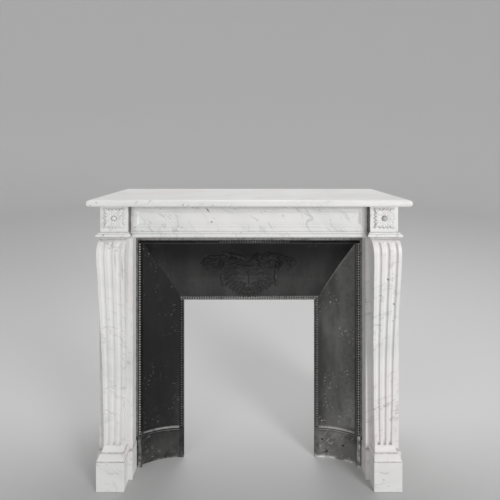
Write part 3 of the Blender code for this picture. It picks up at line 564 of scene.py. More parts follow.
def makeShelf():
    turn = np.linspace(0, np.pi / 2, 9)
    footIn, footRise = shelf["footRound"]
    topIn, topDrop = shelf["topRound"]
    inward = np.concatenate([footIn * (1 - np.sin(turn)), topIn * (1 - np.cos(turn))])
    heights = np.concatenate([shelfLow[2] + footRise * (1 - np.cos(turn)),
                              shelfHigh[2] - topDrop + topDrop * np.sin(turn)])
    footEnd, topEnd = shelf["endRound"]
    atEnds = np.concatenate([footEnd * (1 - np.sin(turn)), topEnd * (1 - np.cos(turn))])
    left, right = shelfLow[0] + atEnds, shelfHigh[0] - atEnds
    front, back = shelfLow[1] + inward, np.full_like(inward, wallY)
    plan = np.stack([
        np.stack([left, back], -1), np.stack([left, front], -1),
        np.stack([right, front], -1), np.stack([right, back], -1),
    ], axis=1)
    ring = roundedCorners(plan, np.array([0.0, 1, 1, 0])[None, :, None] * shelf["cornerReach"], 6)
    # extra points along the front and the ends, for the wear
    runs = []
    for k, count in ((6, 60), (13, 200), (20, 60)):
        share = np.linspace(0, 1, count + 2)[1:-1][None, :, None]
        runs.append(ring[:, k:k + 1] * (1 - share) + ring[:, k + 1:k + 2] * share)
    ring = np.concatenate([ring[:, :7], runs[0], ring[:, 7:14], runs[1], ring[:, 14:21], runs[2], ring[:, 21:]], axis=1)
    points = raised(ring, heights)
    drift = shelf["uneven"] * waves(points * [1, 1, 3], 0.09, 11)
    knocks = waves(points, 0.014, 12) * waves(points, 0.08, 13)
    drift -= shelf["chips"] * np.clip(knocks - 1.5, 0, 1)
    inside = np.clip((wallY - points[..., 1]) / 0.02, 0, 1) * drift
    points[..., 1] -= inside * (np.abs(points[..., 0]) < shelfHigh[0] - 0.02)
    points[..., 0] += inside * np.sign(points[..., 0]) * (np.abs(points[..., 0]) >= shelfHigh[0] - 0.02)
    makePiece("marbleShelf", [skin(points)], shelfMarble, ["shelf"])


# The frieze: one upright section is carried along X, and the panel sinks its face by the
# distance inside the panel's outline, so that the four mouldings mitre at the corners
frieze = {
    "bandHeight": 0.0165,
    "bandBase": 0.007,
    "bandProjection": 0.015,
    "filletHeight": 0.006,
    "filletProjection": 0.005,
    "setback": 0.005,
    "panelMargins": (0.018, 0.0225, 0.016),  # at the ends, the top and the foot
    "panelDrop": (0.0032, 0.0056, 0.0010),  # the first step, the ogee and the last step
    "panelPlaces": (0.0012, 0.0055, 0.0165, 0.0173),  # where each of these begins or ends
    "uneven": 0.00018,
}


# Depth inside the panel: a step, a flat, an S-shaped slope and a small last step
def panelDepth(inside):
    stepEnd, ogeeStart, ogeeEnd, lastEnd = frieze["panelPlaces"]
    first, ogee, last = frieze["panelDrop"]
    share = np.clip((inside - ogeeStart) / (ogeeEnd - ogeeStart), 0, 1)
    swing = share - np.sin(2 * np.pi * share) / (2 * np.pi) * 0.9
    return (first * np.clip(inside / stepEnd, 0, 1) + ogee * swing
            + last * np.clip((inside - ogeeEnd) / (lastEnd - ogeeEnd), 0, 1))


def makeFrieze():
    left, right = friezeLow[0], friezeHigh[0]
    low, top = friezeLow[2], friezeHigh[2]
    face = jambFront + frieze["setback"]
    endMargin, topMargin, footMargin = frieze["panelMargins"]
    bandTop = low + frieze["bandHeight"]
    filletTop = bandTop + frieze["filletHeight"]
    stepEnd, ogeeStart, ogeeEnd, lastEnd = frieze["panelPlaces"]
    offsets = np.concatenate([[0, stepEnd * 0.5, stepEnd], np.linspace(ogeeStart - 0.001, ogeeEnd, 16),
                              [lastEnd, lastEnd + 0.002]])
    panelX = (left + endMargin, right - endMargin)
    panelZ = (filletTop + footMargin, shelfLow[2] - topMargin)
    across = np.unique(np.concatenate([
        np.linspace(left, right, 170), panelX[0] + offsets, panelX[1] - offsets,
        [left + 0.0004, left + 0.0012, right - 0.0012, right - 0.0004],
    ]))
    bandZ, bandOut = halfRound(low + 0.0006, bandTop, frieze["bandBase"], frieze["bandProjection"], 18)
    project = frieze["filletProjection"]
    heights = np.concatenate([
        [low, low], bandZ, [bandTop + 0.0003, filletTop - 0.0008, filletTop - 0.0002, filletTop],
        np.linspace(filletTop + 0.0006, panelZ[0] - 0.001, 5), panelZ[0] + offsets,
        np.linspace(panelZ[0] + lastEnd + 0.006, panelZ[1] - lastEnd - 0.006, 7), (panelZ[1] - offsets)[::-1],
        np.linspace(panelZ[1] + 0.001, top - 0.0008, 5), [top],
    ])
    out = np.zeros_like(heights)
    out[:2] = [-0.02, frieze["bandBase"] - 0.0008]
    out[2:20] = bandOut
    out[20:24] = [project, project, project - 0.0003, project - 0.0009]
    x, z = np.meshgrid(across, heights, indexing="ij")
    inside = np.minimum(np.minimum(x - panelX[0], panelX[1] - x), np.minimum(z - panelZ[0], panelZ[1] - z))
    sink = panelDepth(np.clip(inside, 0, None))
    y = face - out[None, :] + sink
    front = np.stack([x, y, z], axis=-1)
    rear = np.stack([np.stack([across, np.full_like(across, jambBack), np.full_like(across, level)], -1)
                     for level in (top, low)], axis=1)
    ends = np.minimum(x - left, right - x)
    front[..., 1] += 0.0009 * np.clip(1 - ends / 0.0012, 0, 1) ** 2  # worn arrises at both ends
    front[..., 1] += frieze["uneven"] * waves(front, 0.12, 21)
    # the panel's mouldings are darkened in their hollows with dirt and painted shade
    grimeShadeAndSheen = 0.34 * hollowDirtAndShade(-y, 0.0022)
    joint = np.where(x > 0, 0.0036, 0.0016)
    grimeShadeAndSheen = np.maximum(grimeShadeAndSheen, 1.6 * np.exp(-np.clip(ends, 0, None) / joint))  # dirty joints with the blocks
    grimeShadeAndSheen = np.maximum(grimeShadeAndSheen, 0.30 * np.exp(-((top - z) / 0.0220) ** 6))  # painted shadow under the shelf
    grimeShadeAndSheen = np.concatenate([grimeShadeAndSheen, np.zeros((len(across), 2))], axis=1)
    rings = np.concatenate([front, rear], axis=1)
    makePiece("marbleFrieze", [skin(rings, grimeShadeAndSheen)], friezeMarble, ["frieze"])


# A corner block: plan outlines follow the capital moulding upwards, and the face carries the rosette
block = {
    "width": 0.108,
    "projection": 0.018,
    "neck": (0.0065, 0.003),  # height, projection
    "torus": (0.0130, 0.008, 0.013),  # height, base, projection
    "fillet": (0.006, 0.006),
    "arris": 0.0011,
    "uneven": 0.00015,
}
rosette = {
    "half": 0.0395,
    "samples": 132,
    "relief": 0.0076,
    "button": (0.0088, 0.0122),  # radius, height
    "buttonRing": 0.0022,
    "drillPlace": 0.86,  # of the way from the centre to the edge
    "drillRadius": 0.0019,
    "drillDepth": 0.006,
}


# One carved leaf from the centre outwards: a lobed outline, a rise towards the tip, which
# rolls over, a sunk midrib and fanned veins beside it
def carvedLeaf(dx, dz, angle, length, width, lobes, rise):
    along = (dx * math.cos(angle) + dz * math.sin(angle)) / length
    side = (dz * math.cos(angle) - dx * math.sin(angle)) / width
    t = np.clip(along, 0, 1)
    outline = np.sin(np.pi * t**0.72) ** 0.62 * (1 - 0.20 * np.cos(2 * np.pi * lobes * t) ** 2)
    v = np.abs(side) / np.maximum(outline, 0.02)
    body = np.clip(1 - v**2.6, 0, None) ** 0.5 * (0.30 + 0.95 * t**0.8 - 0.55 * np.clip(t - 0.72, 0, None) / 0.28)
    rib = 0.30 * np.exp(-(v / 0.16) ** 2)
    fan = 0.13 * (0.5 + 0.5 * np.cos(2 * np.pi * (lobes * t - 0.75 * v))) * np.clip(v * 2, 0, 1)
    inside = (along > 0) & (along < 1) & (v < 1)
    return np.where(inside, rise * np.clip(body - rib - fan, 0.02, None), 0)


# The whole flower: four corner leaves, four side leaves over them, small tips between and a domed button
def rosetteHeight(dx, dz):
    half = rosette["half"]
    height = np.zeros_like(dx)
    for k in range(8):
        tip = math.pi / 8 + math.pi / 4 * k
        height = np.maximum(height, carvedLeaf(dx, dz, tip, half * 1.08, half * 0.25, 2, rosette["relief"] * 0.80))
    for k in range(4):
        corner = math.pi / 4 + math.pi / 2 * k
        height = np.maximum(height, carvedLeaf(dx, dz, corner, half * 1.36, half * 0.34, 4, rosette["relief"]))
    for k in range(4):
        side = math.pi / 2 * k
        height = np.maximum(height, carvedLeaf(dx, dz, side, half * 1.0, half * 0.37, 3, rosette["relief"] * 0.92))
    # drilled holes between the tips, close to the edge of the square
    for k in range(16):
        gap = math.pi / 16 + math.pi / 8 * k
        far = rosette["drillPlace"] * half / max(abs(math.cos(gap)), abs(math.sin(gap)))
        away = np.hypot(dx - far * math.cos(gap), dz - far * math.sin(gap))
        height = height - rosette["drillDepth"] * np.exp(-((away / rosette["drillRadius"]) ** 4))
    height = np.clip(height, -0.001, None)
    reach = np.hypot(dx, dz)
    radius, rise = rosette["button"]
    ring = rosette["buttonRing"]
    height = np.where(reach < radius + ring, height * np.clip((reach - radius) / ring, 0.1, 1) ** 2, height)
    dome = rise * np.sqrt(np.clip(1 - (reach / radius) ** 2, 0, None)) ** 0.8
    dimple = 0.0022 * np.exp(-((reach / (radius * 0.36)) ** 2))
    return np.where(reach < radius, np.maximum(height, dome - dimple), height)


def makeBlock(side, hand):
    half = block["width"] / 2
    low, top = blockLow[2], blockHigh[2]
    face = jambFront - block["projection"]
    neckTop = low + block["neck"][0]
    torusTop = neckTop + block["torus"][0]
    filletTop = torusTop + block["fillet"][0]
    centreZ = (filletTop + shelfLow[2]) / 2
    torusZ, torusOut = halfRound(neckTop, torusTop, block["torus"][1], block["torus"][2], 16)
    carved = np.linspace(centreZ - rosette["half"] - 0.0015, centreZ + rosette["half"] + 0.0015, rosette["samples"])
    heights = np.concatenate([
        [low, low + 0.0006, neckTop - 0.0003], torusZ,
        [torusTop + 0.0003, filletTop - 0.0008, filletTop - 0.0002, filletTop, filletTop + 0.001],
        np.linspace(filletTop + 0.003, carved[0] - 0.0006, 3), carved,
        np.linspace(carved[-1] + 0.0006, top - 0.001, 3), [top],
    ])
    out = np.zeros_like(heights)
    out[:3] = block["neck"][1] - np.array([0.0006, 0, 0])
    out[3:19] = torusOut
    out[19:23] = block["fillet"][1] - np.array([0, 0, 0.0003, 0.0009])
    out[-1] = -0.0006
    stop = jambFront + frieze["setback"] - frieze["bandProjection"] - seam
    inner = np.full_like(out, legX - half) - np.minimum(out, 0)
    outer = legX + half + out
    proud = legX - half - out
    near = face - out
    plan = np.stack([
        np.stack([proud, near], -1), np.stack([outer, near], -1),
        np.stack([outer, np.full_like(out, jambBack)], -1), np.stack([inner, np.full_like(out, jambBack)], -1),
        np.stack([inner, np.full_like(out, stop)], -1), np.stack([proud, np.full_like(out, stop)], -1),
    ], axis=1)
    worn = block["arris"] * (1 + 0.5 * np.clip(waves(heights[:, None] * [0, 0, 1.0], 0.03, 31 + side), 0, 2))
    ring = roundedCorners(plan, worn[:, None, None], 3)
    x = legX + np.concatenate([
        np.linspace(-half + 0.004, -rosette["half"] - 0.002, 4),
        np.linspace(-rosette["half"] - 0.0015, rosette["half"] + 0.0015, rosette["samples"]),
        np.linspace(rosette["half"] + 0.002, half - 0.004, 4),
    ])
    dx, dz = np.meshgrid(x - legX, heights - centreZ)
    flower = rosetteHeight(dx * side, dz)
    front = np.stack([dx + legX, near[:, None] - flower], axis=-1)
    share = np.linspace(0, 1, 8)[None, 1:-1, None]
    flank = ring[:, -1:] * (1 - share) + ring[:, :1] * share
    ring = np.concatenate([ring[:, :4], front, ring[:, 4:], flank], axis=1)
    points = raised(ring, heights)
    points[..., 0] *= side
    grimeShadeAndSheen = np.zeros(points.shape[:2])
    grimeShadeAndSheen[:, -18:] = 1.9  # the joint with the frieze is dark with dirt
    grimeShadeAndSheen[:, -6:] = np.linspace(1.9, 0.3 if side < 0 else 1.4, 6)
    # the flower's hollows are darkened with dirt and painted shade
    grimeShadeAndSheen[:, 4:4 + len(x)] = hollowDirtAndShade(flower, 0.0014) * (0.55 if side < 0 else 0.6)
    if side > 0:  # the right flower's centre is dark with dirt
        grimeShadeAndSheen[:, 4:4 + len(x)] = np.maximum(grimeShadeAndSheen[:, 4:4 + len(x)], 0.6 * np.exp(-((np.hypot(dx, dz) / 0.012) ** 2)))
    # the dark lines under the fillet and under the torus are painted shade in these creases
    lines = 0.40 * np.exp(-((heights - filletTop) / 0.0016) ** 2) + 1.1 * np.exp(-((heights - neckTop) / 0.0013) ** 2)
    grimeShadeAndSheen = np.maximum(grimeShadeAndSheen, lines[:, None])
    points = handWorked(points, 0.05, block["uneven"], 37 + 4 * side)
    makePiece("cornerBlock" + hand, [skin(points, grimeShadeAndSheen)], blockMarble, ["corner_block_" + hand.lower()])


# A leg: plan outlines from the plinth up, whose front is cut by three flutes
leg = {
    "footWidth": 0.0764,
    "headWidth": 0.1072,
    "footProjection": 0.0220,
    "shoulderProjection": 0.0550,
    "headProjection": 0.0200,
    "swellStart": 0.340,
    "shoulderHeight": 0.055,
    "flareHeight": 0.0170,
    "flareOut": 0.0055,
    "flareForward": 0.0125,
    "baseHeight": 0.0160,
    "baseOut": 0.0140,
    "baseForward": 0.0310,
    "baseReveal": 0.0010,
    "flutes": 3,
    "fluteShare": 0.169,  # of the leg's width
    "fluteDepth": 0.36,  # of a flute's own width
    "leftSoftness": 0.55,
    "headDrop": 0.0075,
    "arris": 0.0012,
    "uneven": 0.00022,
}


def legHalfWidth(z):
    foot = plinthTop + leg["baseHeight"] + leg["flareHeight"]
    share = np.clip((z - foot) / (openingTop - foot), 0, None)
    return (leg["footWidth"] + (leg["headWidth"] - leg["footWidth"]) * share) / 2


# Straight at first, then a swell that eases in and out, then a quarter ellipse back to the head
def legProjection(z):
    shoulder = openingTop - leg["shoulderHeight"]
    share = np.clip((z - leg["swellStart"]) / (shoulder - leg["swellStart"]), 0, 1)
    swell = share**2 * (3 - share**2) / 2
    rising = leg["footProjection"] + (leg["shoulderProjection"] - leg["footProjection"]) * swell
    turn = np.clip((z - shoulder) / leg["shoulderHeight"], 0, 1)
    fall = 1 - np.sqrt(1 - turn**2)
    return rising - (leg["shoulderProjection"] - leg["headProjection"]) * fall


def makeLeg(side, hand):
    low, head = legLow[2], legHigh[2]
    baseTop = plinthTop + leg["baseHeight"]
    foot = baseTop + leg["flareHeight"]
    fluteTop = head - leg["headDrop"]
    fluteFoot = foot + 0.0012
    heights = np.concatenate([
        np.linspace(low, baseTop, 9), np.linspace(baseTop + 0.0002, foot, 14),
        fluteFoot + np.array([0, 0.0004, 0.001, 0.002, 0.0035, 0.006]),
        np.linspace(foot + 0.010, leg["swellStart"], 40),
        np.linspace(leg["swellStart"] + 0.006, fluteTop - 0.030, 100),
        np.linspace(fluteTop - 0.029, fluteTop + 0.0004, 46), np.linspace(fluteTop + 0.001, head, 7),
    ])
    baseShare = np.clip((heights - low) / (baseTop - low), 0, 1) ** 1.3
    flareShare = np.clip((foot - heights) / leg["flareHeight"], 0, 1) ** 1.6
    onBase = heights <= baseTop
    outStep = leg["baseOut"] - leg["flareOut"] - leg["baseReveal"]
    forwardStep = leg["baseForward"] - leg["flareForward"] - leg["baseReveal"]
    half = legHalfWidth(heights) + np.where(onBase, leg["baseOut"] - outStep * baseShare, leg["flareOut"] * flareShare)
    reach = legProjection(heights) + np.where(
        onBase, leg["baseForward"] - forwardStep * baseShare, leg["flareForward"] * flareShare)
    near = jambFront - reach
    back = np.full_like(near, jambFront - seam)
    plan = np.stack([
        np.stack([-half, near], -1), np.stack([half, near], -1),
        np.stack([half, back], -1), np.stack([-half, back], -1),
    ], axis=1)
    knocks = np.clip(waves(heights[:, None] * [0, 0, 1.0], 0.022, 41 + side), 0, 2)
    ring = roundedCorners(plan, (leg["arris"] * (1 + 0.6 * knocks))[:, None, None], 4)
    # columns across the front: a flute's own arc, and ribs between the flutes
    share = leg["fluteShare"]
    pitch = 2 * (1 - leg["flutes"] * share) / (leg["flutes"] + 1) + 2 * share
    middles = (np.arange(leg["flutes"]) - (leg["flutes"] - 1) / 2) * pitch
    arc = -np.cos(np.linspace(0, np.pi, 21))
    columns = [np.linspace(-0.955, middles[0] - share - 0.012, 4)]
    for k, middle in enumerate(middles):
        columns.append(middle + share * arc)
        end = middles[k + 1] - share - 0.012 if k + 1 < len(middles) else 0.955
        columns.append(np.linspace(middle + share + 0.012, end, 5 if k + 1 < len(middles) else 4))
    u = np.concatenate(columns)
    z = heights[:, None]
    across = (u[None, :, None] - middles[None, None, :]) / share
    fluteHalf = share * half[:, None, None]
    over = np.clip((z[..., None] - (fluteTop - fluteHalf)) / fluteHalf, 0, None)
    depth = 2 * fluteHalf * leg["fluteDepth"] * (1 + 0.25 * np.exp(-((z[..., None] - fluteFoot) / 0.010) ** 2))
    if side < 0:  # the left leg's flutes are worn softer
        depth = depth * leg["leftSoftness"]
    sink = (depth * np.sqrt(np.clip(1 - across**2 - over**2, 0, None))).max(axis=2)
    sink = sink * (z >= fluteFoot) * np.clip((z - fluteFoot) / 0.0010, 0, 1) ** 0.5
    front = np.stack([u[None, :] * half[:, None], near[:, None] + sink], axis=-1)
    ring = np.concatenate([ring[:, :5], front, ring[:, 5:]], axis=1)
    points = raised(ring, heights)
    points[..., 0] += side * legX
    grimeShadeAndSheen = np.zeros(points.shape[:2])
    flute = sink / (2 * share * half[:, None] * leg["fluteDepth"])
    fade = 0.7 * np.exp(-(z - fluteFoot) / 0.007) + 0.2 * np.exp(-(fluteTop - z) / 0.03)
    grimeShadeAndSheen[:, 5:5 + len(u)] = np.clip(flute * fade, 0, 1)
    grimeShadeAndSheen = np.maximum(grimeShadeAndSheen, 0.55 * np.exp(-((heights - baseTop) / 0.0012) ** 2)[:, None])
    points = handWorked(points, 0.07, leg["uneven"], 47 + 4 * side)
    material = leftMarble if side < 0 else rightMarble
    makePiece("flutedLeg" + hand, [skin(points, grimeShadeAndSheen)], material, ["leg_" + hand.lower()])


# Plain slabs and blocks with worn arrises
slabs = {"spacing": 0.012, "arris": 0.0016, "chips": 0.0024, "jambArris": 0.0011, "jointDirt": 0.9}


def makeSlabs(side, hand):
    material = leftMarble if side < 0 else rightMarble
    for name, low, high, arris, dirtAndShade, seed in (
        ("plinth", plinthLow, plinthHigh, slabs["arris"], slabs["jointDirt"], 61),
        ("jambPlinth", jambPlinthLow, jambPlinthHigh, slabs["arris"], 0.3, 67),
        ("jamb", jambLow, jambHigh, slabs["jambArris"], 0.3, 71),
    ):
        near, far = low.copy(), high.copy()
        if side < 0:
            near[0], far[0] = -high[0], -low[0]
        node = {"plinth": "plinth_", "jambPlinth": "jamb_plinth_", "jamb": "jamb_"}[name] + hand.lower()
        shell = wornBox(near, far, slabs["spacing"], arris, slabs["chips"], seed + side, dirtAndShade)
        makePiece(name + hand, [shell], material, [node])


# A side return: plan rectangles whose outer face follows the plinth band and the capital band
sideReturn = {"thickness": 0.020, "projection": 0.004, "arris": 0.001}


def makeSideReturn(side, hand):
    low, top = returnLow[2], returnHigh[2]
    proud = sideReturn["projection"]
    bandLow = openingTop + block["neck"][0]
    bandZ, bandOut = halfRound(bandLow, bandLow + block["torus"][0], 0.0, proud, 12)
    chamfer = np.linspace(0, 1, 6)
    heights = np.concatenate([
        [low], np.linspace(low + 0.001, plinthTop - proud - 0.001, 8), plinthTop - proud + proud * chamfer,
        np.linspace(plinthTop + 0.002, bandLow - 0.002, 50), bandZ,
        np.linspace(bandLow + block["torus"][0] + 0.001, top, 8),
    ])
    out = np.concatenate([
        np.full(9, proud), proud * (1 - chamfer**1.5), np.zeros(50), bandOut, np.zeros(8),
    ])
    outer = returnHigh[0] - proud + out
    inner = np.full_like(out, returnHigh[0] - proud - sideReturn["thickness"])
    near, far = np.full_like(out, returnLow[1]), np.full_like(out, wallY)
    plan = np.stack([
        np.stack([inner, near], -1), np.stack([outer, near], -1),
        np.stack([outer, far], -1), np.stack([inner, far], -1),
    ], axis=1)
    ring = roundedCorners(plan, sideReturn["arris"], 3)
    points = raised(ring, heights)
    points[..., 0] *= side
    makePiece("sideReturn" + hand, [skin(points)], returnMarble, ["side_return_" + hand.lower()])


makeShelf()
makeFrieze()
for side, hand in ((-1, "Left"), (1, "Right")):
    makeBlock(side, hand)
    makeLeg(side, hand)
    makeSlabs(side, hand)
    makeSideReturn(side, hand)
print("marble made")


# The iron insert. Depths are measured back from the plane of its outer band
casting = {
    "thickness": 0.006,
    "innerFrame": 0.0175,
    "innerLip": (0.0040, 0.0035),  # width and drop of the edge round the fire opening
    "innerDepth": 0.0430,
    "outerDepth": 0.0120,
    "sideInset": 0.0220,
    "topInset": 0.0345,
    "strip": 0.0120,
    "stripMargin": 0.0010,
    "fillet": (0.0013, 0.0014),  # width and rise of the fine ribs beside the beads
    "flange": 0.0230,
    "roundness": 0.55,
    "mitreGap": 0.0006,
    "footBand": (0.1230, 0.0110, 0.0045),  # height, width and relief
    "reed": (0.0062, 0.0021, 0.0022),  # how far below the band, half width and relief
    "warp": 0.0005,
    "holes": ((0.3050, 0.0746, 0.0040), (0.3890, 0.0596, 0.0036), (0.3235, 0.0247, 0.0042)),  # X, Z, radius
    "holeSpread": 1.5,  # they are wider than high
}
holeRim = 0.0042 * np.array([-1.05, -0.95, -0.72, -0.4, 0, 0.4, 0.72, 0.95, 1.05])
beads = {"pitch": 0.0101, "radius": 0.0046, "rise": 0.0050, "foot": 0.131, "sides": 10}

ironFront = jambBack + seam
fireHalf, fireTop = cheekLow[0], panelLow[2]
hollowIn = np.array([fireHalf, fireTop]) + casting["innerFrame"]
hollowOut = np.array([jambLow[0] - casting["sideInset"], openingTop - casting["topInset"]])
hollowHeight = hollowOut[1] - hollowIn[1]


# Depth of the hollow: a circular arc that starts level at the inner edge
def hollowDepth(share):
    bend = casting["roundness"]
    fall = (1 - np.sqrt(1 - (bend * share) ** 2)) / (1 - math.sqrt(1 - bend**2))
    return casting["innerDepth"] - (casting["innerDepth"] - casting["outerDepth"]) * fall


# The section from the fire opening out to the flange: (X, Z) of each line's turn at the mitre, and its depths
def castingSection():
    frameWidth, strip, margin = casting["innerFrame"], casting["strip"], casting["stripMargin"]
    lipWidth, lipDrop = casting["innerLip"]
    ribWidth, ribRise = casting["fillet"]
    inner, outer, wall = casting["innerDepth"], casting["outerDepth"], casting["thickness"]

    def ribs(start, depth, strip):
        places = start + np.array([0, 0.2, 0.8, 1]) * ribWidth
        return places, depth - ribRise * np.array([0, 1, 1, 0]), np.array(strip)

    # The last array of each part is its tone: the lip darker at its inner edge, the ribs lighter on their crowns as
    # painted highlight and dark at their feet beside the bead strips as painted shade, the flange lighter
    parts = []
    lipPlace = -frameWidth + lipWidth * np.array([0, 0.35, 0.75, 1])
    parts.append((0, lipPlace, inner + lipDrop * np.array([1, 0.45, 0.08, 0]), np.array([-0.6, 0.1, 0.2, 0.1])))
    parts.append((0, *ribs(-strip - margin, inner, [0, 0.2, 0.0, -0.9])))
    parts.append((0, *ribs(-margin - ribWidth, inner, [-0.9, 0.0, 0.1, -0.5])))
    span = hollowOut[0] - hollowIn[0]
    along = np.unique(np.concatenate([np.linspace(0, 1, 33)]
                                     + [(hole[0] - hollowIn[0] + casting["holeSpread"] * holeRim) / span for hole in casting["holes"]]))
    parts.append((1, along, hollowDepth(along), np.zeros(len(along))))
    parts.append((2, np.array([margin / 2]), np.array([0.0]), np.array([0.3])))
    parts.append((2, *ribs(margin, 0.0, [0.3, 0.3, 0.0, -0.9])))
    parts.append((2, *ribs(margin + strip - ribWidth, 0.0, [-0.9, 0.0, 0.2, 0.1])))
    edge = casting["sideInset"] + casting["flange"]
    parts.append((2, np.array([margin + strip + 0.003, edge - 0.002, edge]), np.zeros(3), np.full(3, 0.45)))
    turns, near, far, hollowPart, tones = [], [], [], [], []
    for zone, place, depth, tone in parts:
        tones.append(tone)
        if zone == 1:
            turn = hollowIn + (hollowOut - hollowIn) * place[:, None]
        else:
            turn = (hollowIn if zone == 0 else hollowOut) + place[:, None]
        turns.append(turn)
        near.append(depth)
        if zone == 0:
            far.append(np.full_like(depth, inner + wall))
        elif zone == 1:
            far.append(depth + wall)
        else:
            far.append(np.where(place < wall, outer + wall, wall))
        hollowPart.append(np.sin(np.pi * place) ** 0.15 if zone == 1 else np.zeros_like(depth))
    return [np.concatenate(part) for part in (turns, near, far, hollowPart, tones)]


# Beads: low domes on the plane that faces the room, lighter on their crowns as painted highlight and dark at their feet
# as painted shade
def beadShells(centres, rubbedAndHighlight=0.8):
    steps = np.array([[1.0, -0.25], [1.0, 0.12], [0.86, 0.58], [0.55, 0.88], [0.18, 1.0]])
    angle = np.linspace(0, 2 * np.pi, beads["sides"], endpoint=False)
    x = steps[:, 0, None] * np.cos(angle) * beads["radius"]
    z = steps[:, 0, None] * np.sin(angle) * beads["radius"]
    y = np.broadcast_to(-steps[:, 1, None] * beads["rise"], x.shape)
    rings = centres[:, None, None, :] + np.stack([x, y, z], axis=-1)[None]
    wear = np.reshape(rubbedAndHighlight, (-1, 1, 1)) * np.clip(steps[:, 1], -1, 1)[None, :, None] + np.zeros(rings.shape[:3])
    return skin(rings, np.where(wear < 0.2, -0.8, wear))


def beadRun(start, end, count=None):
    length = np.linalg.norm(np.subtract(end, start))
    count = count or int(round(length / beads["pitch"]))
    share = (np.arange(count) + 0.5) / count
    return np.array(start) + (np.array(end) - np.array(start)) * share[:, None]


def stripMiddles():
    middle = casting["stripMargin"] + casting["strip"] / 2
    return hollowIn - middle, hollowOut + middle


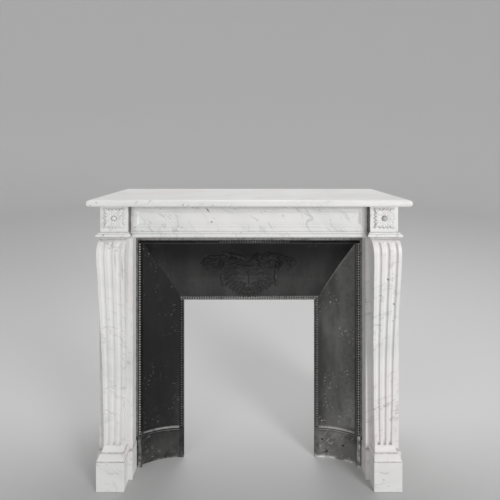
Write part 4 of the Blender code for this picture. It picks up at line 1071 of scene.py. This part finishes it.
def makeCheek(side, hand, material):
    turns, near, far, hollowPart, tones = castingSection()
    foot, width, relief = casting["footBand"]
    bandShare = np.linspace(0, 1, 11)
    reedDrop, reedHalf, reedRelief = casting["reed"]
    reedRows = foot - reedDrop + reedHalf * np.array([-2.2, -1.05, -0.95, -0.5, 0, 0.5, 0.95, 1.05, 1.8])
    lower = np.unique(np.concatenate([np.linspace(0, foot - 0.014, 26), [0.002, 0.006], reedRows]
                                     + [hole[1] + holeRim for hole in casting["holes"]]))
    lower = lower[lower < foot - 0.0005]
    rows = len(lower)
    lower = np.concatenate([lower, foot + width * bandShare])
    upper = np.linspace(0, 1, 46)[1:]
    top = turns[:, 1] - casting["mitreGap"]
    low = np.repeat(lower[:, None], len(turns), axis=1)
    high = foot + width + (top[None, :] - foot - width) * upper[:, None]
    z = np.concatenate([low, high])
    x = np.broadcast_to(turns[:, 0], z.shape)
    # the foot band: a roll between two fine steps
    profile = np.sin(np.pi * bandShare) ** 0.5 * relief
    reedShare = np.sqrt(np.clip(1 - ((lower[:rows] - foot + reedDrop) / reedHalf) ** 2, 0, None))
    raisedBand = np.concatenate([reedRelief * reedShare, profile, np.zeros(len(upper))])
    depth = near[None, :] - raisedBand[:, None] * hollowPart[None, :]
    # small round holes low in the right cheek
    hole = np.zeros(z.shape)
    if side > 0:
        for holeX, holeZ, radius in casting["holes"]:
            hole = np.maximum(hole, np.clip((radius - np.hypot((x - holeX) / casting["holeSpread"], z - holeZ)) / (0.25 * radius), 0, 1))
    front = np.stack([x, ironFront + depth + 0.0042 * hole, z], axis=-1)
    back = np.stack([x, np.broadcast_to(ironFront + far, z.shape), z], axis=-1)
    drift = casting["warp"] * waves(front * [1, 0, 1], 0.19, 81 + side) * np.minimum(hollowPart, 1)
    front[..., 1] += drift
    rings = np.concatenate([front, back[:, ::-1]], axis=1)
    rings[..., 0] *= side
    inHollow = np.clip(hollowPart, 0, 1)[None, :]
    grimeShadeAndSheen = np.broadcast_to(tones, z.shape) * (z > beads["foot"] - 0.006)
    grimeShadeAndSheen = grimeShadeAndSheen + 0.75 * (raisedBand[:, None] / relief) * inHollow  # the foot band is rubbed
    for drop in (0.0018, reedDrop + reedHalf + 0.0012):  # and dark lines run above and below the reed
        grimeShadeAndSheen = grimeShadeAndSheen - 0.9 * np.exp(-(((z - foot + drop) / 0.0014) ** 2)) * inHollow
    grimeShadeAndSheen = grimeShadeAndSheen + (0.3 if side > 0 else -0.1) * np.exp(-((top[None, :] - z) / 0.0016)) * inHollow  # painted highlight along the right cheek's mitre, painted shade along the left one's
    crust = np.clip(0.7 + 0.4 * waves(front, 0.03, 83 + side), 0, 1.3)
    grimeShadeAndSheen = grimeShadeAndSheen + (1.7 if side > 0 else 0.4) * crust * np.exp(-((z / 0.008) ** 2))  # floor dust
    stripEnd = hollowOut[0] + casting["strip"] + 0.002
    outer = (x > hollowOut[0] + 0.001) & (x < stripEnd)
    grimeShadeAndSheen = grimeShadeAndSheen + (1.3 if side > 0 else 0.45) * crust * outer * (z < foot + 0.004)  # lime below the beads
    # the left cheek is sootier towards its outer edge. The right one is dustier, most of all low down, lighter towards
    # its outer edge with dust and painted light where it lies in shade, and darker beside its inner beads as painted
    # shade
    out = np.clip((x - hollowIn[0]) / (hollowOut[0] - hollowIn[0]), 0, 1)
    rim = np.exp(-(((x - hollowOut[0] - 0.0005) / 0.0012) ** 2)) * (z > foot + width)
    if side < 0:
        grimeShadeAndSheen = grimeShadeAndSheen + (0.02 - 0.30 * out + 0.04 * np.exp(-(((z - 0.2) / 0.12) ** 2))) * inHollow
        grimeShadeAndSheen = grimeShadeAndSheen - 0.4 * rim - 0.13 * (x > stripEnd)
    else:
        patch = np.clip((out - 0.6) / 0.4, 0, 1) * np.exp(-(((z - 0.20) / 0.09) ** 2))
        slope = 0.44 * out - 0.20 - 0.25 * np.exp(-out / 0.05) + 0.40 * patch
        grimeShadeAndSheen = grimeShadeAndSheen + slope * inHollow * (z > foot + width)
    # the holes are painted dark, as painted shade
    grimeShadeAndSheen = np.where(hole > 0, -hole, grimeShadeAndSheen)
    grimeShadeAndSheen = np.concatenate([np.clip(grimeShadeAndSheen, -1, 2), np.zeros_like(grimeShadeAndSheen)], axis=1)
    inMiddle, outMiddle = stripMiddles()
    shells = [skin(rings, grimeShadeAndSheen)]
    # the beads' shares of painted highlight on their crowns
    worn = (0.30, 0.85) if side < 0 else (0.36, 1.0)
    for spot, depthHere, rubbedAndHighlight in ((inMiddle, casting["innerDepth"], worn[0]), (outMiddle, 0.0, worn[1])):
        start = (side * spot[0], ironFront + depthHere, beads["foot"])
        end = (side * spot[0], ironFront + depthHere, spot[1] - beads["radius"])
        shells.append(beadShells(beadRun(start, end), rubbedAndHighlight))
    return makePiece("insertCheek" + hand, shells, material, ["insert_cheek_" + hand.lower()])


# Painted shade on the hollow of the top panel, standing for the frieze's shadow: none at its foot, darkest under the
# frieze
def panelShade(along):
    share = np.clip((along - 0.30) / 0.70, 0, 1)
    return -0.92 * share**2 * (3 - 2 * share)


def makeTopPanel():
    turns, near, far, hollowPart, tones = castingSection()
    share = np.linspace(-1, 1, 121)[:, None]
    x = share * turns[None, :, 0]
    z = np.broadcast_to(turns[:, 1], x.shape)
    front = np.stack([x, np.broadcast_to(ironFront + near, x.shape), z], axis=-1)
    back = np.stack([x, np.broadcast_to(ironFront + far, x.shape), z], axis=-1)
    rings = np.concatenate([front, back[:, ::-1]], axis=1)
    inHollow = np.clip(hollowPart, 0, 1)[None, :]
    along = np.clip((turns[:, 1] - hollowIn[1]) / hollowHeight, 0, 1)[None, :]
    # painted shade under the frieze, and a little lighter in the middle towards the foot
    grimeShadeAndSheen = tones[None, :] + (panelShade(along) + 0.06 * (1 - share**2) * (1 - along)) * inHollow
    outer = turns[:, 1] > hollowOut[1] + 0.001
    grimeShadeAndSheen = grimeShadeAndSheen + 0.12 * (outer & (turns[:, 1] > hollowOut[1] + casting["strip"]))  # dust and painted light on the outer strip, which lies in the frieze's shadow
    inner = (turns[:, 1] < hollowIn[1]) & (turns[:, 1] > hollowIn[1] - casting["strip"] - 0.002)
    grimeShadeAndSheen = grimeShadeAndSheen + 0.95 * inner * (0.80 + 0.20 * share)  # the inner strip is lighter too, more so towards the right
    grimeShadeAndSheen = np.concatenate([np.clip(grimeShadeAndSheen, -1, 1), 0 * x], axis=1)
    inMiddle, outMiddle = stripMiddles()
    shells = [skin(rings, grimeShadeAndSheen)]
    for spot, depthHere, rubbedAndHighlight in ((inMiddle, casting["innerDepth"], 1.0), (outMiddle, 0.0, 0.36)):
        start = (-spot[0] - beads["radius"], ironFront + depthHere, spot[1])
        end = (spot[0] + beads["radius"], ironFront + depthHere, spot[1])
        run = beadRun(start, end)
        shine = rubbedAndHighlight * (0.55 + 0.45 * np.exp(-(((run[:, 0] - 0.02) / 0.11) ** 2)))  # painted highlight, brightest in the middle
        shells.append(beadShells(run, shine))
    shells += garlandShells()
    makePiece("insertTopPanel", shells, panelIron, ["insert_top_panel"], 50)


# The garland: (X, height above the hollow's foot) and the relief over the panel
garland = {
    "drawnHeight": 0.2315,
    "sink": 0.0012,
    "branch": ((-0.180, 0.1240), (-0.142, 0.1140), (-0.100, 0.1115), (-0.048, 0.1220), (-0.003, 0.1440),
               (0.035, 0.1610), (0.072, 0.1715), (0.110, 0.1700), (0.147, 0.1600), (0.174, 0.1500)),
    "leafPairs": 12,
    "leafStart": 0.30,
    "leaf": (0.041, 0.0058, 0.0078),  # length, half width, rise
    "stem": (0.0026, 0.0036),  # radius at the tip and at the cut end
    "cluster": (0.117, 0.1370),
    "swag": (0.107, 0.0850, 0.0670),  # half width, top and drop
    "swagFlowers": 17,
    "tassel": (0.112, 0.0900, 5, 0.0098),  # X, top, berries and their step
    "bow": (0.0, 0.1040),
    "loop": ((0, 0), (0.030, 0.012), (0.064, 0.010), (0.090, -0.006), (0.080, -0.024), (0.048, -0.031),
             (0.014, -0.030)),
    "tail": ((0, -0.004), (0.022, -0.014), (0.044, -0.014), (0.066, -0.018)),
}


# A point of the panel's hollow with its relief: the height goes out along the surface's normal
def onPanel(x, above, relief):
    share = above / garland["drawnHeight"]
    step = 0.01
    slope = (hollowDepth(share + step) - hollowDepth(share - step)) / (2 * step * hollowHeight)
    length = np.sqrt(1 + slope**2)
    scale = hollowHeight / garland["drawnHeight"]
    y = ironFront + hollowDepth(share) - relief / length
    z = hollowIn[1] + above * scale + relief * slope / length
    return np.stack([x * scale, y, z], axis=-1)


# Skins of the garland: darkened where they meet the panel as painted shadow, lighter on their crests as painted
# highlight, and darker towards the top with the panel's painted shade
def garlandSkin(x, above, relief, shine=0.34):
    crest = np.clip(relief / 0.0060, 0, 1)
    grimeShadeAndSheen = 0.8 * panelShade(above / garland["drawnHeight"]) + np.where(relief > 0, shine * crest - 0.10, -1.0)
    return skin(onPanel(x, above, relief), grimeShadeAndSheen)


# Leaves: a centre line that turns evenly, a pointed outline and two swollen halves beside a sunk midrib
def leafShells(starts, angles, lengths, widths, rises, bends, rows=8):
    starts = np.asarray(starts, float)
    t = np.linspace(0.015, 0.985, rows)[None, :, None]
    v = np.array([-1, -0.74, -0.38, 0, 0.38, 0.74, 1.0])[None, None, :]
    angle, length, width, rise, bend = (
        np.broadcast_to(np.asarray(given, float), len(starts))[:, None, None]
        for given in (angles, lengths, widths, rises, bends)
    )
    bend = np.where(np.abs(bend) < 0.001, 0.001, bend)
    turn = angle + bend * t
    x = starts[:, 0, None, None] + length * (np.sin(turn) - np.sin(angle)) / bend
    s = starts[:, 1, None, None] + length * (np.cos(angle) - np.cos(turn)) / bend
    half = width * np.sin(np.pi * t**0.8) ** 0.7
    px, ps = x - v * half * np.sin(turn), s + v * half * np.cos(turn)
    dome = np.sin(np.pi * t) ** 0.45 * (1 - v**2) ** 0.55 * (0.55 + 0.45 * np.clip(np.abs(v) / 0.38, 0, 1))
    relief = np.where(np.abs(v) > 0.99, -garland["sink"] / 2, rise * dome)
    top = np.stack([px, ps, relief], axis=-1)
    under = top[:, :, 1:-1][:, :, ::-1].copy()
    under[..., 2] = -garland["sink"]
    ring = np.concatenate([top, under], axis=2)
    return garlandSkin(ring[..., 0], ring[..., 1], ring[..., 2])


# Round flowers and berries: rings of a lobed outline that rise to the petals, dip and rise to the eye
def flowerShells(spots, radii, rises, lobes, steps, sides=15):
    spots = np.asarray(spots, float)
    radius, rise = (np.broadcast_to(np.asarray(given, float), len(spots))[:, None, None] for given in (radii, rises))
    angle = np.linspace(0, 2 * np.pi, sides, endpoint=False)[None, None, :]
    steps = np.array(steps)[None, :, :, None]
    lobed = 1 - 0.26 * np.abs(np.sin(lobes / 2 * angle)) if lobes else np.ones_like(angle)
    reach = radius * steps[:, :, 0] * lobed
    relief = np.where(steps[:, :, 1] < 0, -garland["sink"], rise * steps[:, :, 1]) + 0 * reach
    x = spots[:, 0, None, None] + reach * np.cos(angle)
    s = spots[:, 1, None, None] + reach * np.sin(angle)
    return garlandSkin(x, s, relief, 0.24)


flowerSteps = ((1.0, -1), (1.0, 0.10), (0.86, 0.62), (0.62, 0.80), (0.38, 0.48), (0.27, 0.90), (0.08, 1.02))
berrySteps = ((1.0, -1), (1.0, 0.2), (0.80, 0.7), (0.45, 0.95), (0.1, 1.0))


# A cord of half-round section along a line of points on the panel
def stemShell(line, radii, rise, flatness=1.0):
    line = np.asarray(line, float)
    heading = np.gradient(line, axis=0)
    heading /= np.linalg.norm(heading, axis=1, keepdims=True)
    across = np.stack([-heading[:, 1], heading[:, 0]], axis=-1)
    turn = np.linspace(0, np.pi, 7)
    radii = np.broadcast_to(radii, len(line))[:, None]
    offset = np.concatenate([np.cos(turn), [-0.4, 0.4]])[None, :] * radii
    up = np.concatenate([np.clip(np.sin(turn), 0, 1) ** flatness, [0, 0]])[None, :] * rise
    low = np.concatenate([np.zeros(7), [1, 1]])[None, :] * garland["sink"]
    relief = np.broadcast_to(up - low - 0.0004, offset.shape)
    x = line[:, 0, None] + across[:, 0, None] * offset
    s = line[:, 1, None] + across[:, 1, None] * offset
    return garlandSkin(x, s, relief)


# A smooth line through points, at even shares: piecewise cubics with central slopes
def smoothLine(points, share):
    points = np.asarray(points, float)
    knots = np.arange(len(points))
    slopes = np.gradient(points, axis=0)
    place = np.clip(share, 0, 1) * (len(points) - 1)
    k = np.minimum(place.astype(int), len(points) - 2)
    t = (place - knots[k])[:, None]
    h00, h10 = 2 * t**3 - 3 * t**2 + 1, t**3 - 2 * t**2 + t
    h01, h11 = -2 * t**3 + 3 * t**2, t**3 - t**2
    return h00 * points[k] + h10 * slopes[k] + h01 * points[k + 1] + h11 * slopes[k + 1]


def garlandShells():
    shells = []
    rng = np.random.default_rng(5)
    length, width, rise = garland["leaf"]
    thin, thick = garland["stem"]
    for side in (-1, 1):
        mirror = np.array([side, 1.0])
        line = smoothLine(garland["branch"], np.linspace(0, 1, 60)) * mirror
        shells.append(stemShell(line, np.linspace(thick, thin * 0.5, 60), 0.0034))
        at = np.linspace(garland["leafStart"], 0.99, garland["leafPairs"])
        spots = smoothLine(garland["branch"], at) * mirror
        ahead = smoothLine(garland["branch"], np.clip(at + 0.01, 0, 1)) * mirror
        back = smoothLine(garland["branch"], at - 0.01) * mirror
        heading = np.arctan2(*(ahead - back).T[::-1])
        for hand in (-1, 1):
            spread = np.radians(rng.uniform(20, 48, len(at)))
            sizes = length * rng.uniform(0.70, 1.15, len(at)) * (1 - 0.30 * np.clip((at - 0.8) / 0.2, 0, 1))
            shells.append(leafShells(spots, heading + hand * spread, sizes, width * rng.uniform(0.8, 1.15, len(at)),
                                     rise * rng.uniform(0.6, 1.15, len(at)), -hand * rng.uniform(0.1, 0.7, len(at))))
        shells.append(leafShells(spots[-1:], heading[-1:], length * 0.8, width, rise, 0.01))
        # roses and buds where the branches part, with leaves around them
        cx, cs = garland["cluster"]
        ring = np.linspace(0, 2 * np.pi, 6, endpoint=False) + 0.4
        petals = np.stack([side * cx + 0.0150 * np.cos(ring), cs + 0.0120 * np.sin(ring)], axis=-1)
        shells.append(flowerShells(petals, 0.0074, 0.0064, 5, flowerSteps))
        shells.append(flowerShells([(side * cx, cs)], 0.0090, 0.0080, 5, flowerSteps, 20))
        fan = np.radians(np.array([-165, -140, -110, -60, -30, 0, 25, 150, 175]))
        fan = fan if side > 0 else np.pi - fan
        shells.append(leafShells(np.stack([side * cx + 0.012 * np.cos(fan), cs + 0.010 * np.sin(fan)], -1),
                                 fan, 0.029 * rng.uniform(0.8, 1.2, len(fan)), 0.0052, 0.0044, 0.3))
        # tassel of berries with leaves beside it
        tx, top, count, step = garland["tassel"]
        drop = np.arange(count)
        shells.append(flowerShells(np.stack([np.full(count, side * tx), top - step * drop], -1),
                                   0.0054 - 0.0004 * drop, 0.0048, 0, berrySteps, 10))
        tilt = np.radians([-125, -55, -110, -70, -100, -80])
        shells.append(leafShells(np.stack([np.full(6, side * tx), top - step * np.array([0, 0, 1, 1, 3, 3])], -1),
                                 tilt, 0.020, 0.0040, 0.0028, 0.2))
        # the broad loops of the ribbon and its tails
        for ribbon, broad in (("loop", 0.0040), ("tail", 0.0036)):
            route = smoothLine(np.array(garland[ribbon]) * mirror + garland["bow"], np.linspace(0, 1, 44))
            shells.append(stemShell(route, broad * (1 - 0.3 * np.linspace(0, 1, 44)), 0.0026, 0.6))
        # sprays inside the loops
        inner = np.array([(side * 0.028, 0.0560), (side * 0.052, 0.0520), (side * 0.040, 0.0450), (side * 0.016, 0.0500)])
        shells.append(flowerShells(inner, 0.0078, 0.0032, 5, flowerSteps))
        wisps = np.radians([-40, -10, 20, 60, -75])
        wisps = wisps if side > 0 else np.pi - wisps
        shells.append(leafShells(np.repeat([[side * 0.036, 0.0560]], 5, axis=0), wisps, 0.027, 0.0045, 0.0028, 0.4))
        loose = np.array([(0.030, 0.086), (0.056, 0.092), (0.150, 0.1120), (0.165, 0.1330), (0.080, 0.1400),
                          (0.050, 0.1300), (0.028, 0.1180), (0.140, 0.1420), (0.066, 0.1180)])
        lean = np.radians([20, -15, 10, -5, 15, 25, 30, 5, -10])
        lean = lean if side > 0 else np.pi - lean
        shells.append(leafShells(loose * mirror, lean, 0.034 * rng.uniform(0.8, 1.2, len(loose)), 0.0052, 0.0044, 0.2))
    # the knot and its hanging string, and the leaves that stand up behind the crossing
    strand = np.arange(6)
    shells.append(flowerShells([garland["bow"]], 0.0085, 0.0056, 5, flowerSteps, 20))
    shells.append(flowerShells(np.stack([0 * strand, garland["bow"][1] - 0.012 - 0.0082 * strand], -1),
                               0.0046, 0.0036, 0, berrySteps, 10))
    fan = np.radians([50, 72, 95, 118, 28, 150, 12, 168])
    shells.append(leafShells(np.repeat([[0.0, 0.150]], 8, axis=0), fan, 0.036, 0.0056, 0.0036, 0.1))
    # the swag: a hanging parabola of flowers with smaller ones above and below
    halfWidth, top, drop = garland["swag"]
    count = garland["swagFlowers"]
    across = np.linspace(-1, 1, count)
    middle = np.stack([halfWidth * across, top - drop * (1 - across**2)], axis=-1)
    sizes = 0.0092 * (1 - 0.25 * np.abs(across))
    shells.append(flowerShells(middle, sizes, 0.0058, 5, flowerSteps))
    for lift, size in ((0.0130, 0.0080), (-0.0105, 0.0074)):
        between = (across[:-1] + across[1:]) / 2
        jitter = rng.uniform(-0.0020, 0.0020, (count - 1, 2))
        row = np.stack([halfWidth * between * (1 - lift * 3), top - drop * (1 - between**2) + lift], axis=-1) + jitter
        kept = np.abs(between) < 0.88
        shells.append(flowerShells(row[kept], size, 0.0046, 5, flowerSteps))
        lean = np.arctan2(2 * drop * between, halfWidth) + rng.uniform(-0.9, 0.9, count - 1) - (1.2 if lift < 0 else -1.2)
        shells.append(leafShells(row[kept], lean[kept], 0.017, 0.0042, 0.0028, 0.2, 6))
    return shells


makeCheek(-1, "Left", leftIron)
makeCheek(1, "Right", rightIron)
makeTopPanel()
print("iron made")


# The stage: a pale floor that turns up into a wall far behind the camera's reach on every side. It is
# painted a little darker on the room side of the mantel as painted shade, and the rest glows softly with painted light
# like a lit studio sweep
stage = {
    "radius": 7.0,
    "bend": 2.5,
    "wall": 4.0,
    "pale": (0.60, 0.60, 0.60),
    # the room side's darker tone is painted shade
    "front": (0.52, 0.52, 0.52),
    "edge": (-0.30, 0.30),  # the Y between which the tones change
    "glow": 0.08,
}


def makeStage():
    turn = np.linspace(0, np.pi / 2, 16)
    reach = np.concatenate([[0.001, 2.0], stage["radius"] + stage["bend"] * np.sin(turn),
                            [stage["radius"] + stage["bend"]]])
    height = np.concatenate([[0, 0], stage["bend"] * (1 - np.cos(turn)), [stage["bend"] + stage["wall"]]])
    angle = np.linspace(0, 2 * np.pi, 96, endpoint=False)
    points = np.stack([np.outer(reach, np.cos(angle)), np.outer(reach, np.sin(angle)),
                       np.repeat(height[:, None], 96, axis=1) - 0.0006], axis=-1)
    index = np.arange(points.shape[0] * 96).reshape(points.shape[0], 96)
    ahead = np.roll(index, -1, axis=1)
    quads = np.stack([index[:-1], ahead[:-1], ahead[1:], index[1:]], axis=-1).reshape(-1, 4)
    mesh = bpy.data.meshes.new("studioFloor")
    mesh.from_pydata(points.reshape(-1, 3).tolist(), [], quads.tolist())
    mesh.shade_smooth()
    material, tree, shader = blankMaterial("studioGrey")
    spot = place(tree, "TexCoord").outputs["Object"]
    depth = place(tree, "SeparateXYZ", {0: spot}).outputs["Y"]
    uneven = maths(tree, "ADD", depth, maths(tree, "MULTIPLY", noise(tree, spot, 2.0, 2.0), 0.02))
    behind = ramp(tree, uneven, *stage["edge"])
    tree.links.new(blend(tree, behind, stage["front"], stage["pale"]), shader.inputs["Base Color"])
    tree.links.new(blend(tree, behind, (0, 0, 0), (1, 1, 1)), shader.inputs["Emission Color"])
    shader.inputs["Emission Strength"].default_value = stage["glow"]
    shader.inputs["Roughness"].default_value = 0.9
    mesh.materials.append(material)
    floor = bpy.data.objects.new("studioFloor", mesh)
    bpy.context.scene.collection.objects.link(floor)


makeStage()


# Lights: a large key from the right, in front and above, a weak fill, and an even sky
lights = {
    "key": ((4.6, -4.8, 2.2), (0, -0.1, 0.7), 2.8, 272.0),  # place, aim, size and power
    "fill": ((-4.0, -4.6, 1.5), (0, -0.1, 0.6), 3.0, 58.0),
    "top": ((0.0, 1.2, 3.6), (0, 1.2, 0.0), 2.0, 38.0),
    "sky": 0.47,
}


def makeLight(name, spot, aim, size, power):
    lamp = bpy.data.lights.new(name, "AREA")
    lamp.shape = "DISK"
    lamp.size = size
    lamp.energy = power
    holder = bpy.data.objects.new(name, lamp)
    holder.location = spot
    holder.rotation_euler = (Vector(aim) - Vector(spot)).to_track_quat("-Z", "Y").to_euler()
    holder.visible_camera = False
    bpy.context.scene.collection.objects.link(holder)


for name in ("key", "fill", "top"):
    makeLight(name + "Light", *lights[name])
world = bpy.data.worlds.new("studioSky")
world.use_nodes = True
world.node_tree.nodes["Background"].inputs["Color"].default_value = (1, 1, 1, 1)
world.node_tree.nodes["Background"].inputs["Strength"].default_value = lights["sky"]
bpy.context.scene.world = world
bpy.context.scene.view_settings.view_transform = "Standard"


# The camera stands level in front of the mantel, and its shift keeps the uprights parallel
camera = {
    "eye": (0.001, -1.36, 1.2706),
    "focal": 455.4,  # in pixels of a 500 pixel picture
    "horizon": -13.8,  # the row of the eye's height
    "centre": 249.1,  # the column straight ahead
    "picture": 500.0,
    "sensor": 36.0,
    "scale": 0.70,  # below 1 the same view is taken with a wider lens, so the shift is smaller
    "foot": (470.0, 492.0),  # the row of the object's foot at scale 1 and below it
}
lens = bpy.data.cameras.new("photoCamera")
lens.sensor_width = camera["sensor"]
lens.lens = camera["sensor"] * camera["focal"] * camera["scale"] / camera["picture"]
lens.shift_x = (camera["picture"] / 2 - camera["centre"]) * camera["scale"] / camera["picture"]
foot = camera["foot"][0] if camera["scale"] == 1 else camera["foot"][1]
horizon = foot - (camera["foot"][0] - camera["horizon"]) * camera["scale"]
lens.shift_y = -(camera["picture"] / 2 - horizon) / camera["picture"]
holder = bpy.data.objects.new("photoCamera", lens)
holder.location = camera["eye"]
holder.rotation_euler = (math.pi / 2, 0, 0)
bpy.context.scene.collection.objects.link(holder)
bpy.context.scene.camera = holder
